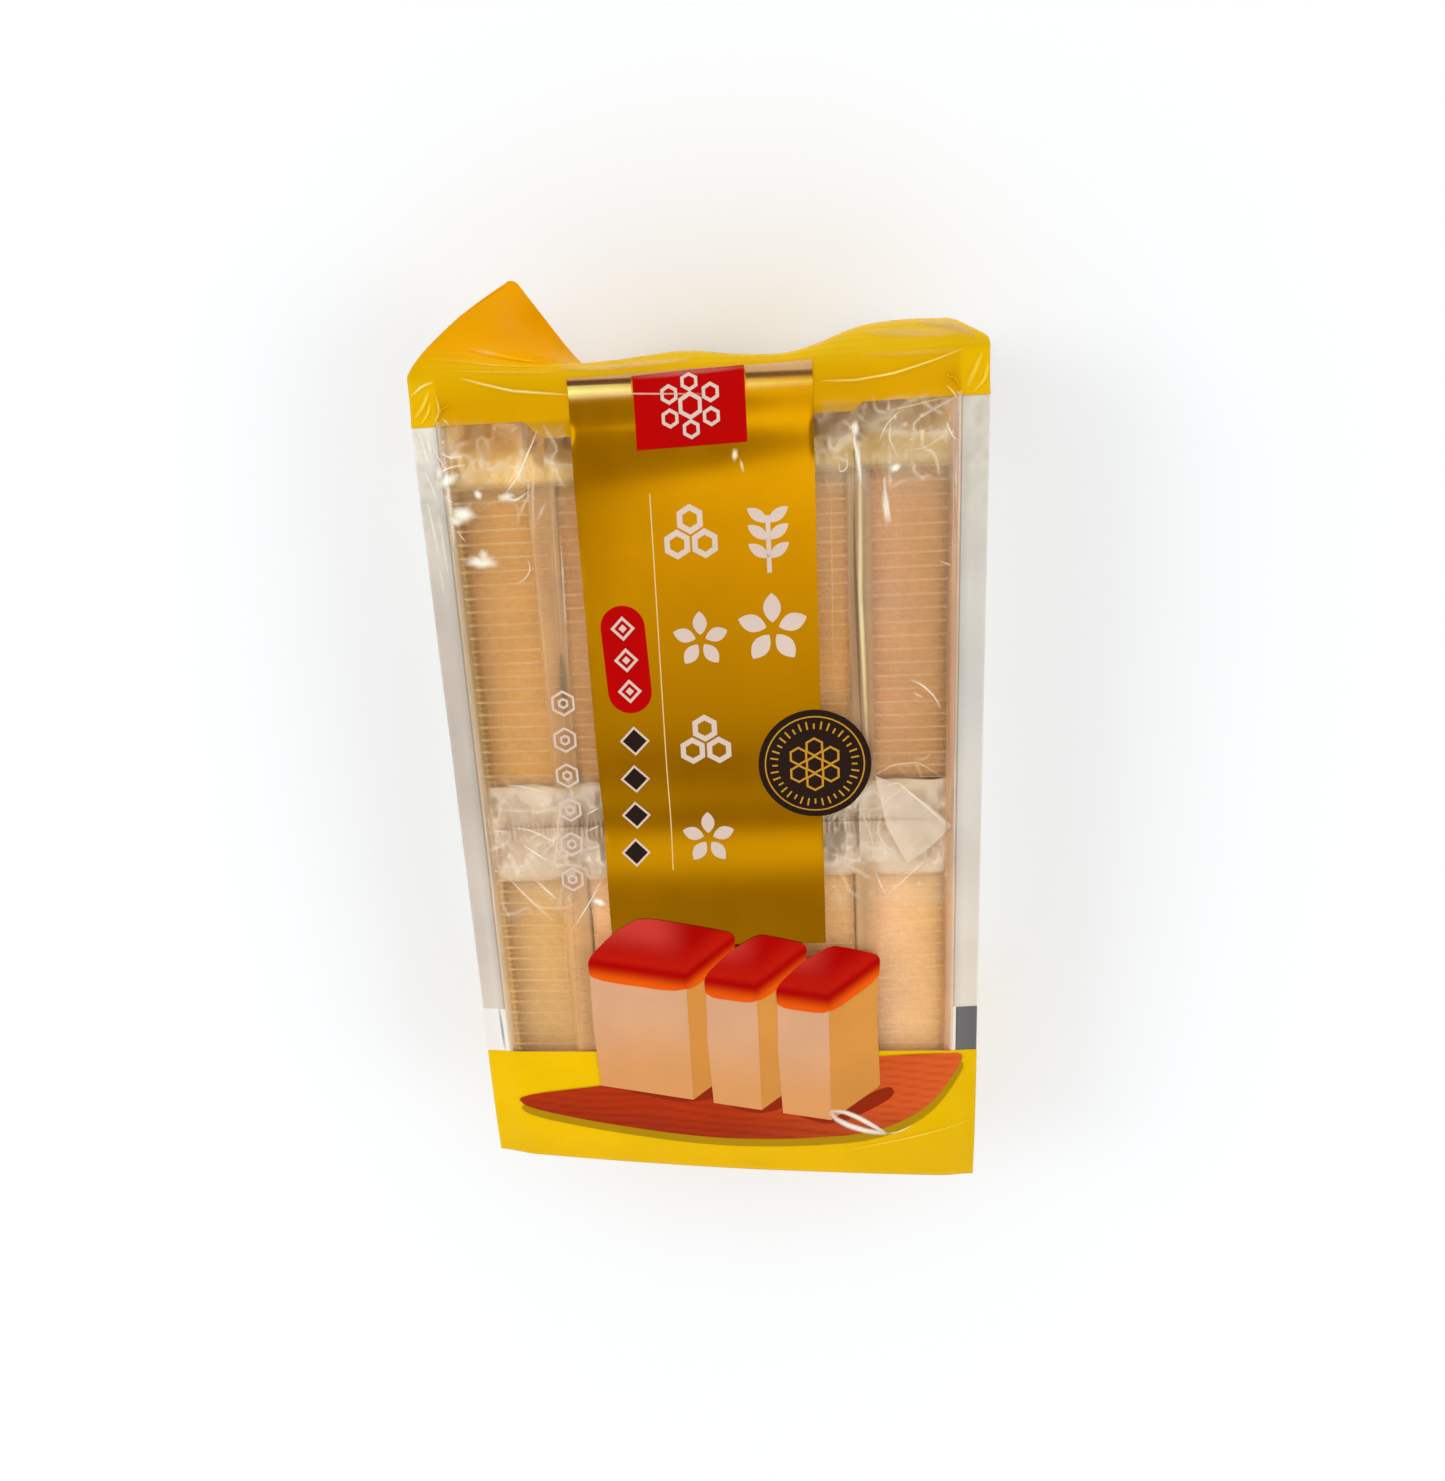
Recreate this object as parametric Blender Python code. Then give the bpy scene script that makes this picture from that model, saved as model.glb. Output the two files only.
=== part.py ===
# A shut clear-window bag of wrapped castella, lying on its back with the printed front up.
# +X is the bag's right, +Y its top end and +Z its front. Lengths are in millimetres up to add_mesh.
import math

import bpy
import numpy as np

MM = 0.001

# Front sheet: the printed panel, its side fins, the bottom seal and the header are one sheet
SHEET_WIDTH = 155.0
SHEET_THICKNESS = 1.4
FRONT_Z = 47.6
SEAL_Y = 101.0
BOTTOM_RIGHT_Y = -147.6
BOTTOM_LEFT_RISE = 9.1
SHEET_COLUMNS = 36
PANEL_ROWS = 50
HEADER_ROWS = 18

# Relief of the front panel
ROW_GAP_Y = -25.5
ROW_GAP_SPREAD = 13.0
ROW_GAP_DIP = 1.8
SHOULDER_Y = 88.0
SHOULDER_DIP = 1.4
FIN_DROP = 0.9
BOTTOM_FALL_Y = -118.0
BOTTOM_FALL = 2.0

# Header above the bend, rolled over the top end except for its left corner.
# The tables give the bend line and the roll's radius across the bag.
HEADER_HEIGHT = 40.0
BEND_X = (-77.5, -45.0, -16.0, 32.0, 54.0, 68.0, 73.0, 77.5)
BEND_Y = (101.0, 99.2, 98.5, 97.6, 95.0, 97.5, 100.0, 101.5)
ROLL_X = (-45.0, -27.0, -2.0, 13.0, 26.0, 35.0, 43.0, 54.0, 66.0, 73.0, 77.5)
ROLL_RADIUS = (6.0, 6.4, 8.4, 7.0, 5.0, 7.0, 13.0, 16.5, 14.5, 11.5, 3.0)
TABLE_BLUR = 5.0
ROLL_ANGLE = math.radians(86.0)
CORNER_REACH = 24.0
CORNER_SHIFT = 32.0
CORNER_DROP = 4.0
CORNER_END_X = -34.0

# Body behind the front sheet
BODY_HALF_WIDTH = 70.0
SIDE_BULGE = 1.2
BODY_TOP_Y = 96.0
BODY_BOTTOM_Y = -131.0
BACK_INSET_TOP = 9.0
BACK_INSET_BOTTOM = 8.0
BACK_RADIUS = 7.0
END_TUCK = 6.0
END_TUCK_LENGTH = 34.0
BODY_STATIONS = 30
FRONT_POINTS = 18
SIDE_POINTS = 7
BACK_POINTS = 8

# Seal fins at the two back corners
BACK_FIN_OUTER_X = 76.0
BACK_FIN_THICKNESS = 1.4
BACK_FIN_TOP_Y = 86.0
BACK_FIN_BOTTOM_Y = -116.0


def clear_scene():
    for obj in list(bpy.data.objects):
        bpy.data.objects.remove(obj, do_unlink=True)


def smooth(value):
    held = np.clip(value, 0.0, 1.0)
    return held * held * (3.0 - 2.0 * held)


def from_table(x, places, values):
    """A table's value at x, blurred so that it has no corners."""
    steps = np.linspace(-TABLE_BLUR, TABLE_BLUR, 11)
    return sum(np.interp(x + step, places, values) for step in steps) / len(steps)


def bottom_edge(x):
    """The bottom free edge, cut on a slant that rises to the left."""
    return BOTTOM_RIGHT_Y + BOTTOM_LEFT_RISE * ((SHEET_WIDTH / 2.0 - x) / SHEET_WIDTH).clip(0.0, 1.0) ** 1.9


def front_height(x, y):
    """Height of the front panel's outer face."""
    across = 1.0 - np.abs(x / BODY_HALF_WIDTH).clip(0.0, 1.0) ** 6
    row_gap = ROW_GAP_DIP * np.exp(-(((y - ROW_GAP_Y) / ROW_GAP_SPREAD) ** 2)) * across
    shoulder = SHOULDER_DIP * np.exp(-(((y - SHOULDER_Y) / 9.0) ** 2)) * across
    fin = FIN_DROP * smooth((np.abs(x) - BODY_HALF_WIDTH + 4.0) / 11.0)
    fall = BOTTOM_FALL * ((BOTTOM_FALL_Y - y) / (BOTTOM_FALL_Y - BOTTOM_RIGHT_Y)).clip(0.0, 1.0) ** 2
    return FRONT_Z - row_gap - shoulder - fin - fall


def header_points(x, part):
    """A row of the header: x along the bend line, part from 0 at the bend to 1 at the free edge."""
    bend = from_table(x, BEND_X, BEND_Y)
    radius = from_table(x, ROLL_X, ROLL_RADIUS)
    up = part * (HEADER_HEIGHT + SEAL_Y - bend)
    turn = np.minimum(up / radius, ROLL_ANGLE)
    rest = (up - radius * ROLL_ANGLE).clip(0.0, None)
    roll_out = radius * np.sin(turn) + rest * math.cos(ROLL_ANGLE)
    roll_down = radius * (1.0 - np.cos(turn)) + rest * math.sin(ROLL_ANGLE)
    corner = (1.0 - (x + SHEET_WIDTH / 2.0) / (CORNER_END_X + SHEET_WIDTH / 2.0)).clip(0.0, 1.0) ** 1.15
    out = corner * CORNER_REACH * part**0.85 + (1.0 - corner) * roll_out
    down = corner * CORNER_DROP * part**2 + (1.0 - corner) * roll_down
    shift = corner * CORNER_SHIFT * part**1.1
    return np.stack([x + shift, bend + out, front_height(x, bend) - down], axis=1)


def sheet_grid():
    """Outer face of the front sheet, from the bottom free edge to the header's free edge."""
    xs = np.linspace(-SHEET_WIDTH / 2.0, SHEET_WIDTH / 2.0, SHEET_COLUMNS + 1)
    low = bottom_edge(xs)
    high = from_table(xs, BEND_X, BEND_Y)
    rows = []
    for part in np.linspace(0.0, 1.0, PANEL_ROWS + 1):
        ys = low + (high - low) * part
        rows.append(np.stack([xs, ys, front_height(xs, ys)], axis=1))
    for part in np.linspace(0.0, 1.0, HEADER_ROWS + 1)[1:]:
        rows.append(header_points(xs, part))
    return np.array(rows)


def grid_normals(grid):
    along_row = np.gradient(grid, axis=1)
    along_column = np.gradient(grid, axis=0)
    normal = np.cross(along_row, along_column)
    return normal / np.linalg.norm(normal, axis=2, keepdims=True)


def slab(grid, thickness):
    """Points and faces of a closed slab whose outer face is the grid."""
    rows, columns = grid.shape[:2]
    inner = grid - grid_normals(grid) * thickness
    points = np.concatenate([grid.reshape(-1, 3), inner.reshape(-1, 3)])
    index = np.arange(rows * columns).reshape(rows, columns)
    below = index + rows * columns
    faces = []
    for r in range(rows - 1):
        for c in range(columns - 1):
            faces.append((index[r, c], index[r, c + 1], index[r + 1, c + 1], index[r + 1, c]))
            faces.append((below[r, c], below[r + 1, c], below[r + 1, c + 1], below[r, c + 1]))
    rim = list(index[0, :]) + list(index[1:, -1]) + list(index[-1, -2::-1]) + list(index[-2:0:-1, 0])
    for a, b in zip(rim, rim[1:] + rim[:1]):
        faces.append((a, a + rows * columns, b + rows * columns, b))
    return points, faces


def body_section(y, inset):
    """One loop of the body around the Y axis. y is the station at the front and inset shrinks the loop."""
    half = BODY_HALF_WIDTH - inset
    end = max(0.0, 1.0 - min(BODY_TOP_Y - y, y - BODY_BOTTOM_Y) / END_TUCK_LENGTH)
    waist = SIDE_BULGE * (1.0 - end) - END_TUCK * end * end
    front_x = np.linspace(-half, half, FRONT_POINTS)
    front_z = front_height(front_x, np.full_like(front_x, y)) - SHEET_THICKNESS / 2.0
    loop = list(zip(front_x, front_z))
    for step in np.linspace(0.0, 1.0, SIDE_POINTS + 2)[1:-1]:
        z = front_z[-1] + (BACK_RADIUS - front_z[-1]) * step
        loop.append((half + waist * math.sin(math.pi * step), z))
    for angle in np.radians((0.0, 30.0, 60.0)):
        loop.append((
            half - BACK_RADIUS * (1.0 - math.cos(angle)),
            inset + BACK_RADIUS * (1.0 - math.sin(angle)),
        ))
    for x in np.linspace(half - BACK_RADIUS, BACK_RADIUS - half, BACK_POINTS):
        loop.append((x, inset))
    for angle in np.radians((60.0, 30.0, 0.0)):
        loop.append((
            BACK_RADIUS * (1.0 - math.cos(angle)) - half,
            inset + BACK_RADIUS * (1.0 - math.sin(angle)),
        ))
    for step in np.linspace(1.0, 0.0, SIDE_POINTS + 2)[1:-1]:
        z = front_z[0] + (BACK_RADIUS - front_z[0]) * step
        loop.append((-half - waist * math.sin(math.pi * step), z))
    middle = (BODY_TOP_Y + BODY_BOTTOM_Y) / 2.0
    place = (y - middle) / (BODY_TOP_Y - middle)
    draw_in = BACK_INSET_TOP if place > 0.0 else BACK_INSET_BOTTOM
    points = []
    for x, z in loop:
        depth = max(0.0, 1.0 - z / FRONT_Z)
        points.append((x, y - place * abs(place) * draw_in * depth, z))
    return points


def body():
    """Points and faces of the closed body behind the front sheet."""
    stations = []
    for y, inset in ((BODY_BOTTOM_Y, 3.0), (BODY_BOTTOM_Y + 0.9, 0.9)):
        stations.append(body_section(y, inset))
    for y in np.linspace(BODY_BOTTOM_Y + 3.0, BODY_TOP_Y - 3.0, BODY_STATIONS):
        stations.append(body_section(y, 0.0))
    for y, inset in ((BODY_TOP_Y - 0.9, 0.9), (BODY_TOP_Y, 3.0)):
        stations.append(body_section(y, inset))
    count = len(stations[0])
    points = [point for station in stations for point in station]
    faces = []
    for r in range(len(stations) - 1):
        for c in range(count):
            d = (c + 1) % count
            faces.append((r * count + c, r * count + d, (r + 1) * count + d, (r + 1) * count + c))
    faces.append(tuple(range(count))[::-1])
    faces.append(tuple(range((len(stations) - 1) * count, len(stations) * count)))
    return np.array(points), faces


def block(low, high):
    """Points and faces of a box between two corners."""
    points = np.array([(x, y, z) for z in (low[2], high[2]) for y in (low[1], high[1]) for x in (low[0], high[0])])
    faces = [(0, 2, 3, 1), (4, 5, 7, 6), (0, 1, 5, 4), (2, 6, 7, 3), (0, 4, 6, 2), (1, 3, 7, 5)]
    return points, faces


def add_mesh(name, shape, origin):
    points, faces = shape
    moved = (np.asarray(points, float) - origin) * MM
    mesh = bpy.data.meshes.new(name)
    mesh.from_pydata([tuple(point) for point in moved], [], [tuple(int(i) for i in face) for face in faces])
    mesh.validate()
    obj = bpy.data.objects.new(name, mesh)
    bpy.context.scene.collection.objects.link(obj)
    return obj


def join(target, other):
    """Adds the solid of other to target's evaluated mesh."""
    other.hide_render = True
    union = target.modifiers.new("join_" + other.name, "BOOLEAN")
    union.operation = "UNION"
    union.solver = "EXACT"
    union.object = other


def build():
    clear_scene()
    grid = sheet_grid()
    outline = slab(grid, SHEET_THICKNESS)
    origin = (outline[0].min(axis=0) + outline[0].max(axis=0)) / 2.0
    origin[2] = 0.0
    bag = add_mesh("bag", outline, origin)
    join(bag, add_mesh("body", body(), origin))
    inner = BODY_HALF_WIDTH - 12.0
    for name, low, high in (
        ("back_fin_left", -BACK_FIN_OUTER_X, -inner),
        ("back_fin_right", inner, BACK_FIN_OUTER_X),
    ):
        fin = block((low, BACK_FIN_BOTTOM_Y, 0.0), (high, BACK_FIN_TOP_Y, BACK_FIN_THICKNESS))
        join(bag, add_mesh(name, fin, origin))


build()
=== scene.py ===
# A shut clear-window bag of wrapped castella, lying on its back, seen from above its top end.
# Film coordinates: x across the bag and w along the front sheet from its bottom edge, in millimetres.
import math

import bmesh
import bpy
import numpy as np
from mathutils import Matrix, Vector


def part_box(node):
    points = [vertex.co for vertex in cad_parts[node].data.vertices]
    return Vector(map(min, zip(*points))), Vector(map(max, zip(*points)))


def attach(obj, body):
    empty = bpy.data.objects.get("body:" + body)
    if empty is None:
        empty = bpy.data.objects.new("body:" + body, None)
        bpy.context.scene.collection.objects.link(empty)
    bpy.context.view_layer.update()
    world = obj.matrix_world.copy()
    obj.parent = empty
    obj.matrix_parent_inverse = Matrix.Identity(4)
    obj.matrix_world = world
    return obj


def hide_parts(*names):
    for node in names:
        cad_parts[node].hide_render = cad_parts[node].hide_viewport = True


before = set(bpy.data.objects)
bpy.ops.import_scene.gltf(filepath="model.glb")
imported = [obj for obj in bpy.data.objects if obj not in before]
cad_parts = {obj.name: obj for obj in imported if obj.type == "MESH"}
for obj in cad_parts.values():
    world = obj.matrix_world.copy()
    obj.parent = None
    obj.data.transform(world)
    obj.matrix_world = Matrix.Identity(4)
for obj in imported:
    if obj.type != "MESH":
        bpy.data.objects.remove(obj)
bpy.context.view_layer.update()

MM = 0.001

# Shape of the front sheet, as in the part's source, with the film a little inside the solid
SHEET_WIDTH = 155
FRONT_Z = 47
SEAL_Y = 101
BOTTOM_RIGHT_Y = -147.6
BOTTOM_LEFT_RISE = 9.1
ROW_GAP_Y = -25.5
ROW_GAP_SPREAD = 13
ROW_GAP_DIP = 1.8
SHOULDER_Y = 88
SHOULDER_DIP = 1.4
SHOULDER_SPREAD = 9
FIN_DROP = 0.9
BOTTOM_FALL_Y = -118
BOTTOM_FALL = 2
HEADER_HEIGHT = 40
# The bend down into the header, and the radius of the roll there, at places across the bag
BEND_X = (-77.5, -45, -16, 32, 54, 68, 73, 77.5)
BEND_Y = (102.8, 99.4, 98.5, 97.6, 95, 97.5, 100, 101.5)
ROLL_X = (-45, -27, -2, 13, 26, 35, 43, 54, 66, 73, 77.5)
ROLL_RADIUS = (7, 7.2, 10.2, 8, 7.6, 11.2, 16.2, 19, 15.9, 12.6, 3)
TABLE_BLUR = 5
# The header turns by this angle, except at its raised left corner
ROLL_ANGLE = math.radians(86)
CORNER_REACH = 23.3
CORNER_SHIFT = 32
CORNER_DROP = 4
CORNER_END_X = -29
CORNER_FILLET = 0.12
BODY_HALF_WIDTH = 70
BODY_TOP_Y = 96
BODY_BOTTOM_Y = -131

# Places of the print on the film
BAND_TOP_W = 90
BAND_BOTTOM_W = -101
FIN_INNER_X = 70
FIN_END_W = -86
GOLD_LEFT_X = -33.5
GOLD_RIGHT_X = 31.8
WINDOW_OUTER_X = 77.5

low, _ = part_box("bag")
SHIFT = np.array([low.x / MM + SHEET_WIDTH / 2, low.y / MM - BOTTOM_RIGHT_Y, 0])


def srgb(r, g, b):
    """A colour given as 0 to 255 screen values, in linear light."""
    c = np.array([r, g, b], float) / 255
    return np.where(c <= 0.04045, c / 12.92, ((c + 0.055) / 1.055) ** 2.4)


def smooth(value):
    held = np.clip(value, 0, 1)
    return held * held * (3 - 2 * held)


def ramp(value, start, length):
    """Smooth rise from 0 to 1 that begins at start. A negative length makes it fall off upwards."""
    return smooth((value - start) / length)


def bell(value, middle, width):
    return np.exp(-(((value - middle) / width) ** 2))


def from_table(x, places, values):
    steps = np.linspace(-TABLE_BLUR, TABLE_BLUR, 11)
    return sum(np.interp(x + step, places, values) for step in steps) / len(steps)


def lattice(ix, iy, seed):
    """A fixed value from 0 to 1 for each whole-number point."""
    n = (ix * 374761393 + iy * 668265263 + seed * 974634777) & 0xFFFFFFFF
    n = ((n ^ (n >> 13)) * 1274126177) & 0xFFFFFFFF
    return ((n ^ (n >> 16)) & 0xFFFF) / 65535


def noise(x, y, scale, seed):
    """Smooth noise from -1 to 1 with features of about scale millimetres."""
    u, v = np.asarray(x, float) / scale, np.asarray(y, float) / scale
    iu, iv = np.floor(u).astype(np.int64), np.floor(v).astype(np.int64)
    fu, fv = smooth(u - iu), smooth(v - iv)
    a, b = lattice(iu, iv, seed), lattice(iu + 1, iv, seed)
    c, d = lattice(iu, iv + 1, seed), lattice(iu + 1, iv + 1, seed)
    return 2 * ((a + (b - a) * fu) * (1 - fv) + (c + (d - c) * fu) * fv) - 1


def folded(x, y, scale, seed):
    """Noise turned into sharp folds that reach up to 1."""
    return 1 - 2 * np.abs(noise(x, y, scale, seed))


def front_height(x, y):
    across = 1 - np.abs(x / BODY_HALF_WIDTH).clip(0, 1) ** 6
    row_gap = ROW_GAP_DIP * bell(y, ROW_GAP_Y, ROW_GAP_SPREAD) * across
    shoulder = SHOULDER_DIP * bell(y, SHOULDER_Y, SHOULDER_SPREAD) * across
    fin = FIN_DROP * ramp(np.abs(x), BODY_HALF_WIDTH - 4, 11)
    fall = BOTTOM_FALL * ((BOTTOM_FALL_Y - y) / (BOTTOM_FALL_Y - BOTTOM_RIGHT_Y)).clip(0, 1) ** 2
    return FRONT_Z - row_gap - shoulder - fin - fall


def bottom_edge(x):
    lean = ((SHEET_WIDTH / 2 - x) / SHEET_WIDTH).clip(0, 1) ** 1.9
    return BOTTOM_RIGHT_Y + BOTTOM_LEFT_RISE * lean


def sheet(x, w):
    """The smooth front sheet: panel up to the bend, then the rolled header with its raised left corner."""
    bend = from_table(x, BEND_X, BEND_Y)
    radius = from_table(x, ROLL_X, ROLL_RADIUS)
    up = (w - bend).clip(0, None)
    part = up / (HEADER_HEIGHT + SEAL_Y - bend)
    turn = np.minimum(up / radius, ROLL_ANGLE)
    rest = (up - radius * ROLL_ANGLE).clip(0, None)
    roll_out = radius * np.sin(turn) + rest * math.cos(ROLL_ANGLE)
    roll_down = radius * (1 - np.cos(turn)) + rest * math.sin(ROLL_ANGLE)
    corner = (1 - (x + SHEET_WIDTH / 2) / (CORNER_END_X + SHEET_WIDTH / 2)).clip(0, 1)
    full = math.hypot(1, CORNER_FILLET) - CORNER_FILLET
    corner = (np.hypot(corner, CORNER_FILLET) - CORNER_FILLET) / full
    out = corner * CORNER_REACH * part**0.85 + (1 - corner) * roll_out
    down = corner * CORNER_DROP * part**2 + (1 - corner) * roll_down
    shift = corner * CORNER_SHIFT * part**1.2
    y = np.minimum(w, bend)
    return np.stack([x + shift, y + out, front_height(x, y) - down], axis=-1)


def near_line(x, w, x0, w0, x1, w1):
    """Distance to a segment and the share along it."""
    dx, dw = x1 - x0, w1 - w0
    along = (((x - x0) * dx + (w - w0) * dw) / (dx * dx + dw * dw)).clip(0, 1)
    return np.hypot(x - x0 - along * dx, w - w0 - along * dw), along


SEAL_PITCH = 2.7
RELIEF_LIMITS = (-2.6, 0.42)
# Creases pressed into the film: two ends, height and half width
FILM_CREASES = (
    (-64.4, -40.5, -51.5, -55.2, 0.35, 0.5),
    (-55.6, -42, -48, -52, 0.3, 0.5),
    (-34.9, -41.8, -45.2, -57.9, 0.35, 0.5),
    (46.6, -40.8, 50, -48.7, 0.3, 0.45),
    (50, -48.7, 61.1, -38.3, 0.3, 0.45),
    (-53, 71, -41, 87, 0.35, 0.7),
    (-47, 60, -44.5, 84, 0.3, 0.6),
    (41.5, 84, 44.8, -7, 0.35, 0.7),
    (46.5, 77, 51.6, 59, 0.3, 0.8),
    (57.5, 15.7, 63.8, 11.2, 0.3, 0.6),
    (-38.4, 84, -41.8, -10, -0.45, 0.9),
)


def relief(x, w):
    """Small relief of the film, in millimetres along its normal."""
    beside = np.abs(x)
    inside = ramp(beside, FIN_INNER_X, -4)
    window = ramp(w, BAND_BOTTOM_W, 6) * ramp(w, BAND_TOP_W + 4, -8)
    clear = inside * window * (1 - ramp(x, GOLD_LEFT_X - 1, 2) * ramp(x, GOLD_RIGHT_X + 1, -2))
    slack = bell(w, ROW_GAP_Y, 14) + bell(w, 84, 9)
    rough = 1 - np.abs(noise(x, w, 9, 3)) * 1.6
    made = 0.16 * noise(x, w, 34, 1) * inside + 0.42 * slack * rough * clear
    made -= 0.3 * slack * inside * window + 1.5 * ramp(w, 87, 9.5)
    made += 0.05 * noise(x, w, 6, 7) * clear
    for x0, w0, x1, w1, height, width in FILM_CREASES:
        gap, along = near_line(x, w, x0, w0, x1, w1)
        made += height * bell(gap, 0, width) * np.sin(math.pi * (0.08 + 0.84 * along))
    groove = bell(beside, 69.6, 0.8) * ramp(w, BAND_BOTTOM_W, 10)
    made -= groove * window * (0.05 + 0.2 * ramp(w, 52, 16))
    made += 0.25 * ramp(beside, 71, 3) * noise(x * 0.2, w, 21, 11)
    crinkle = ramp(beside, 71, 1.5) * ramp(w, 58, 14) * ramp(w, 103, -4)
    made += crinkle * (0.14 * noise(x, w, 2.6, 13) + 0.12 * noise(x, w, 5.5, 15))
    seal = ramp(w, 101, 2) * ramp(w, 114, -2)
    made += 0.05 * seal * np.sin((w + 0.6 * noise(x, w, 30, 17)) * 2 * math.pi / SEAL_PITCH)
    made += 0.35 * ramp(x, -30, -14) * ramp(w, 100, 10) * noise(x, w, 26, 5)
    return made.clip(*RELIEF_LIMITS)


NORMAL_STEP = 0.4


def film(x, w, lift=0):
    """Points of the real film in the row frame, in metres. lift is millimetres out along its normal."""
    x, w = np.asarray(x, float), np.asarray(w, float)
    base = sheet(x, w)
    across = sheet(x + NORMAL_STEP, w) - sheet(x - NORMAL_STEP, w)
    along = sheet(x, w + NORMAL_STEP) - sheet(x, w - NORMAL_STEP)
    normal = np.cross(across, along)
    normal /= np.linalg.norm(normal, axis=-1, keepdims=True)
    return (base + normal * (relief(x, w) + lift)[..., None] + SHIFT) * MM


# Materials


class Nodes:
    """Short ways to add nodes to one tree. A socket given as an input is linked, and anything else is set."""

    def __init__(self, tree):
        self.tree = tree

    def feed(self, target, source):
        if isinstance(source, bpy.types.NodeSocket):
            self.tree.links.new(source, target)
        else:
            target.default_value = source

    def add(self, kind, output, inputs, **settings):
        node = self.tree.nodes.new("ShaderNode" + kind)
        for key, value in settings.items():
            setattr(node, key, value)
        for key, value in inputs.items():
            self.feed(node.inputs[key], value)
        return node.outputs[output]

    def spot(self, scale, detail=2, roughness=0.5, stretch=None):
        """Noise over the object's own coordinates."""
        place = self.add("TexCoord", "Object", {})
        if stretch:
            place = self.add("Mapping", "Vector", {"Vector": place, "Scale": stretch})
        inputs = {"Vector": place, "Scale": scale, "Detail": detail, "Roughness": roughness}
        return self.add("TexNoise", "Fac", inputs)

    def ranged(self, source, low, high, start=0.3, end=0.7, kind="LINEAR"):
        inputs = {"Value": source, "From Min": start, "From Max": end, "To Min": low, "To Max": high}
        return self.add("MapRange", "Result", inputs, interpolation_type=kind)

    def math(self, operation, a, b):
        return self.add("Math", 0, {0: a, 1: b}, operation=operation)

    def tinted(self, source, low, high):
        """The ink colour, made darker or lighter by the noise."""
        shade = self.ranged(source, low, high)
        grey = self.add("CombineColor", "Color", {"Red": shade, "Green": shade, "Blue": shade})
        ink = self.add("Attribute", "Color", {}, attribute_name="Ink")
        inputs = {"Factor": 1, "A": ink, "B": grey}
        return self.add("Mix", "Result", inputs, data_type="RGBA", blend_type="MULTIPLY")


def new_material(name, **values):
    """A material with these values on its shader's own sockets, and the nodes to go on with."""
    material = bpy.data.materials.new(name)
    material.use_nodes = True
    nodes = Nodes(material.node_tree)
    sockets = material.node_tree.nodes["Principled BSDF"].inputs
    for key, value in values.items():
        sockets[key.replace("_", " ")].default_value = value
    return material, nodes, sockets


def make(name, rough, bump, tint, see_through=None, **values):
    """rough, bump and tint each hold two figures and then the noise that they follow."""
    material, n, sockets = new_material(name, **values)
    if tint:
        n.feed(sockets["Base Color"], n.tinted(n.spot(*tint[2:]), *tint[:2]))
    if see_through:
        n.feed(sockets["Alpha"], see_through(n))
    n.feed(sockets["Roughness"], n.ranged(n.spot(*rough[2:]), *rough[:2]))
    inputs = {"Strength": bump[0], "Distance": bump[1], "Height": n.spot(*bump[2:])}
    n.feed(sockets["Normal"], n.add("Bump", "Normal", inputs))
    return material


def make_ink(name, roughness, coat=0, grain=900):
    """Printed film: the mesh's own ink colour, faint mottling and a clear gloss."""
    return make(
        name, (roughness - 0.05, roughness + 0.06, 140), (0.12, 0.0001, grain), (0.96, 1.04, 60, 3),
        Specular_IOR_Level=0.04, Coat_Weight=coat, Coat_Roughness=0.12,
    )


def make_soft(name, roughness, grain, depth, strength=0.3):
    """See-through film whose ink and cover come from the mesh."""
    return make(
        name, (roughness - 0.05, roughness + 0.08, 200), (strength, depth, grain, 3), (0.92, 1.06, 120, 3),
        lambda n: n.add("Attribute", "Fac", {}, attribute_name="Soft"),
        IOR=1.5, Coat_Weight=0.6, Coat_Roughness=0.08,
    )


def grazing_skin(n):
    """Cover of clear film: almost none, and more towards grazing angles."""
    facing = n.add("LayerWeight", "Facing", {"Blend": 0.35})
    plain = n.ranged(n.spot(45, 4), 0.05, 0.11)
    return n.math("ADD", plain, n.math("MULTIPLY", n.math("POWER", facing, 3), 0.55))


CLEAR = make(
    "clear_film", (0.10, 0.2, 170, 3), (0.25, 0.0002, 260, 4), None, grazing_skin,
    Metallic=1, Base_Color=(1, 0.985, 0.95, 1),
)
INK = make_ink("print_ink", 0.34)
YELLOW = make_ink("yellow_print", 0.26)
WHITE = make_ink("white_print", 0.42, 0.1, 500)
GOLD = make(
    "gold_print", (0.16, 0.21, 90), (0.03, 0.0001, 300), (0.96, 1.04, 30, 3, 0.5, (1, 0.35, 1)), Metallic=1,
)
WRAP = make_soft("wrap_film", 0.16, 500, 0.0004)
TRAY = make_soft("tray_plastic", 0.2, 900, 0.0001, 0.1)
# Material of the painted highlights, reflections and shade laid on or under the film
STREAK = make_soft("painted_light_film", 0.25, 900, 0.0001, 0.1)
CAKE = make(
    "castella_crumb", (0.7, 0.95, 300), (0.6, 0.0006, 700, 5, 0.7), (0.90, 1.08, 420, 5, 0.7), IOR=1.4,
    Roughness=0.8, Subsurface_Weight=0.15, Subsurface_Scale=0.004, Subsurface_Radius=(1, 0.6, 0.3),
)


def shares(columns, rows):
    """Two grids of shares from 0 to 1, across and along."""
    return np.meshgrid(np.linspace(0, 1, columns), np.linspace(0, 1, rows))


def placed(points):
    """Rows of points in the row frame, in metres, from millimetres on the photograph's film."""
    return (np.asarray(points).reshape(-1, 3) + SHIFT) * MM


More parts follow.
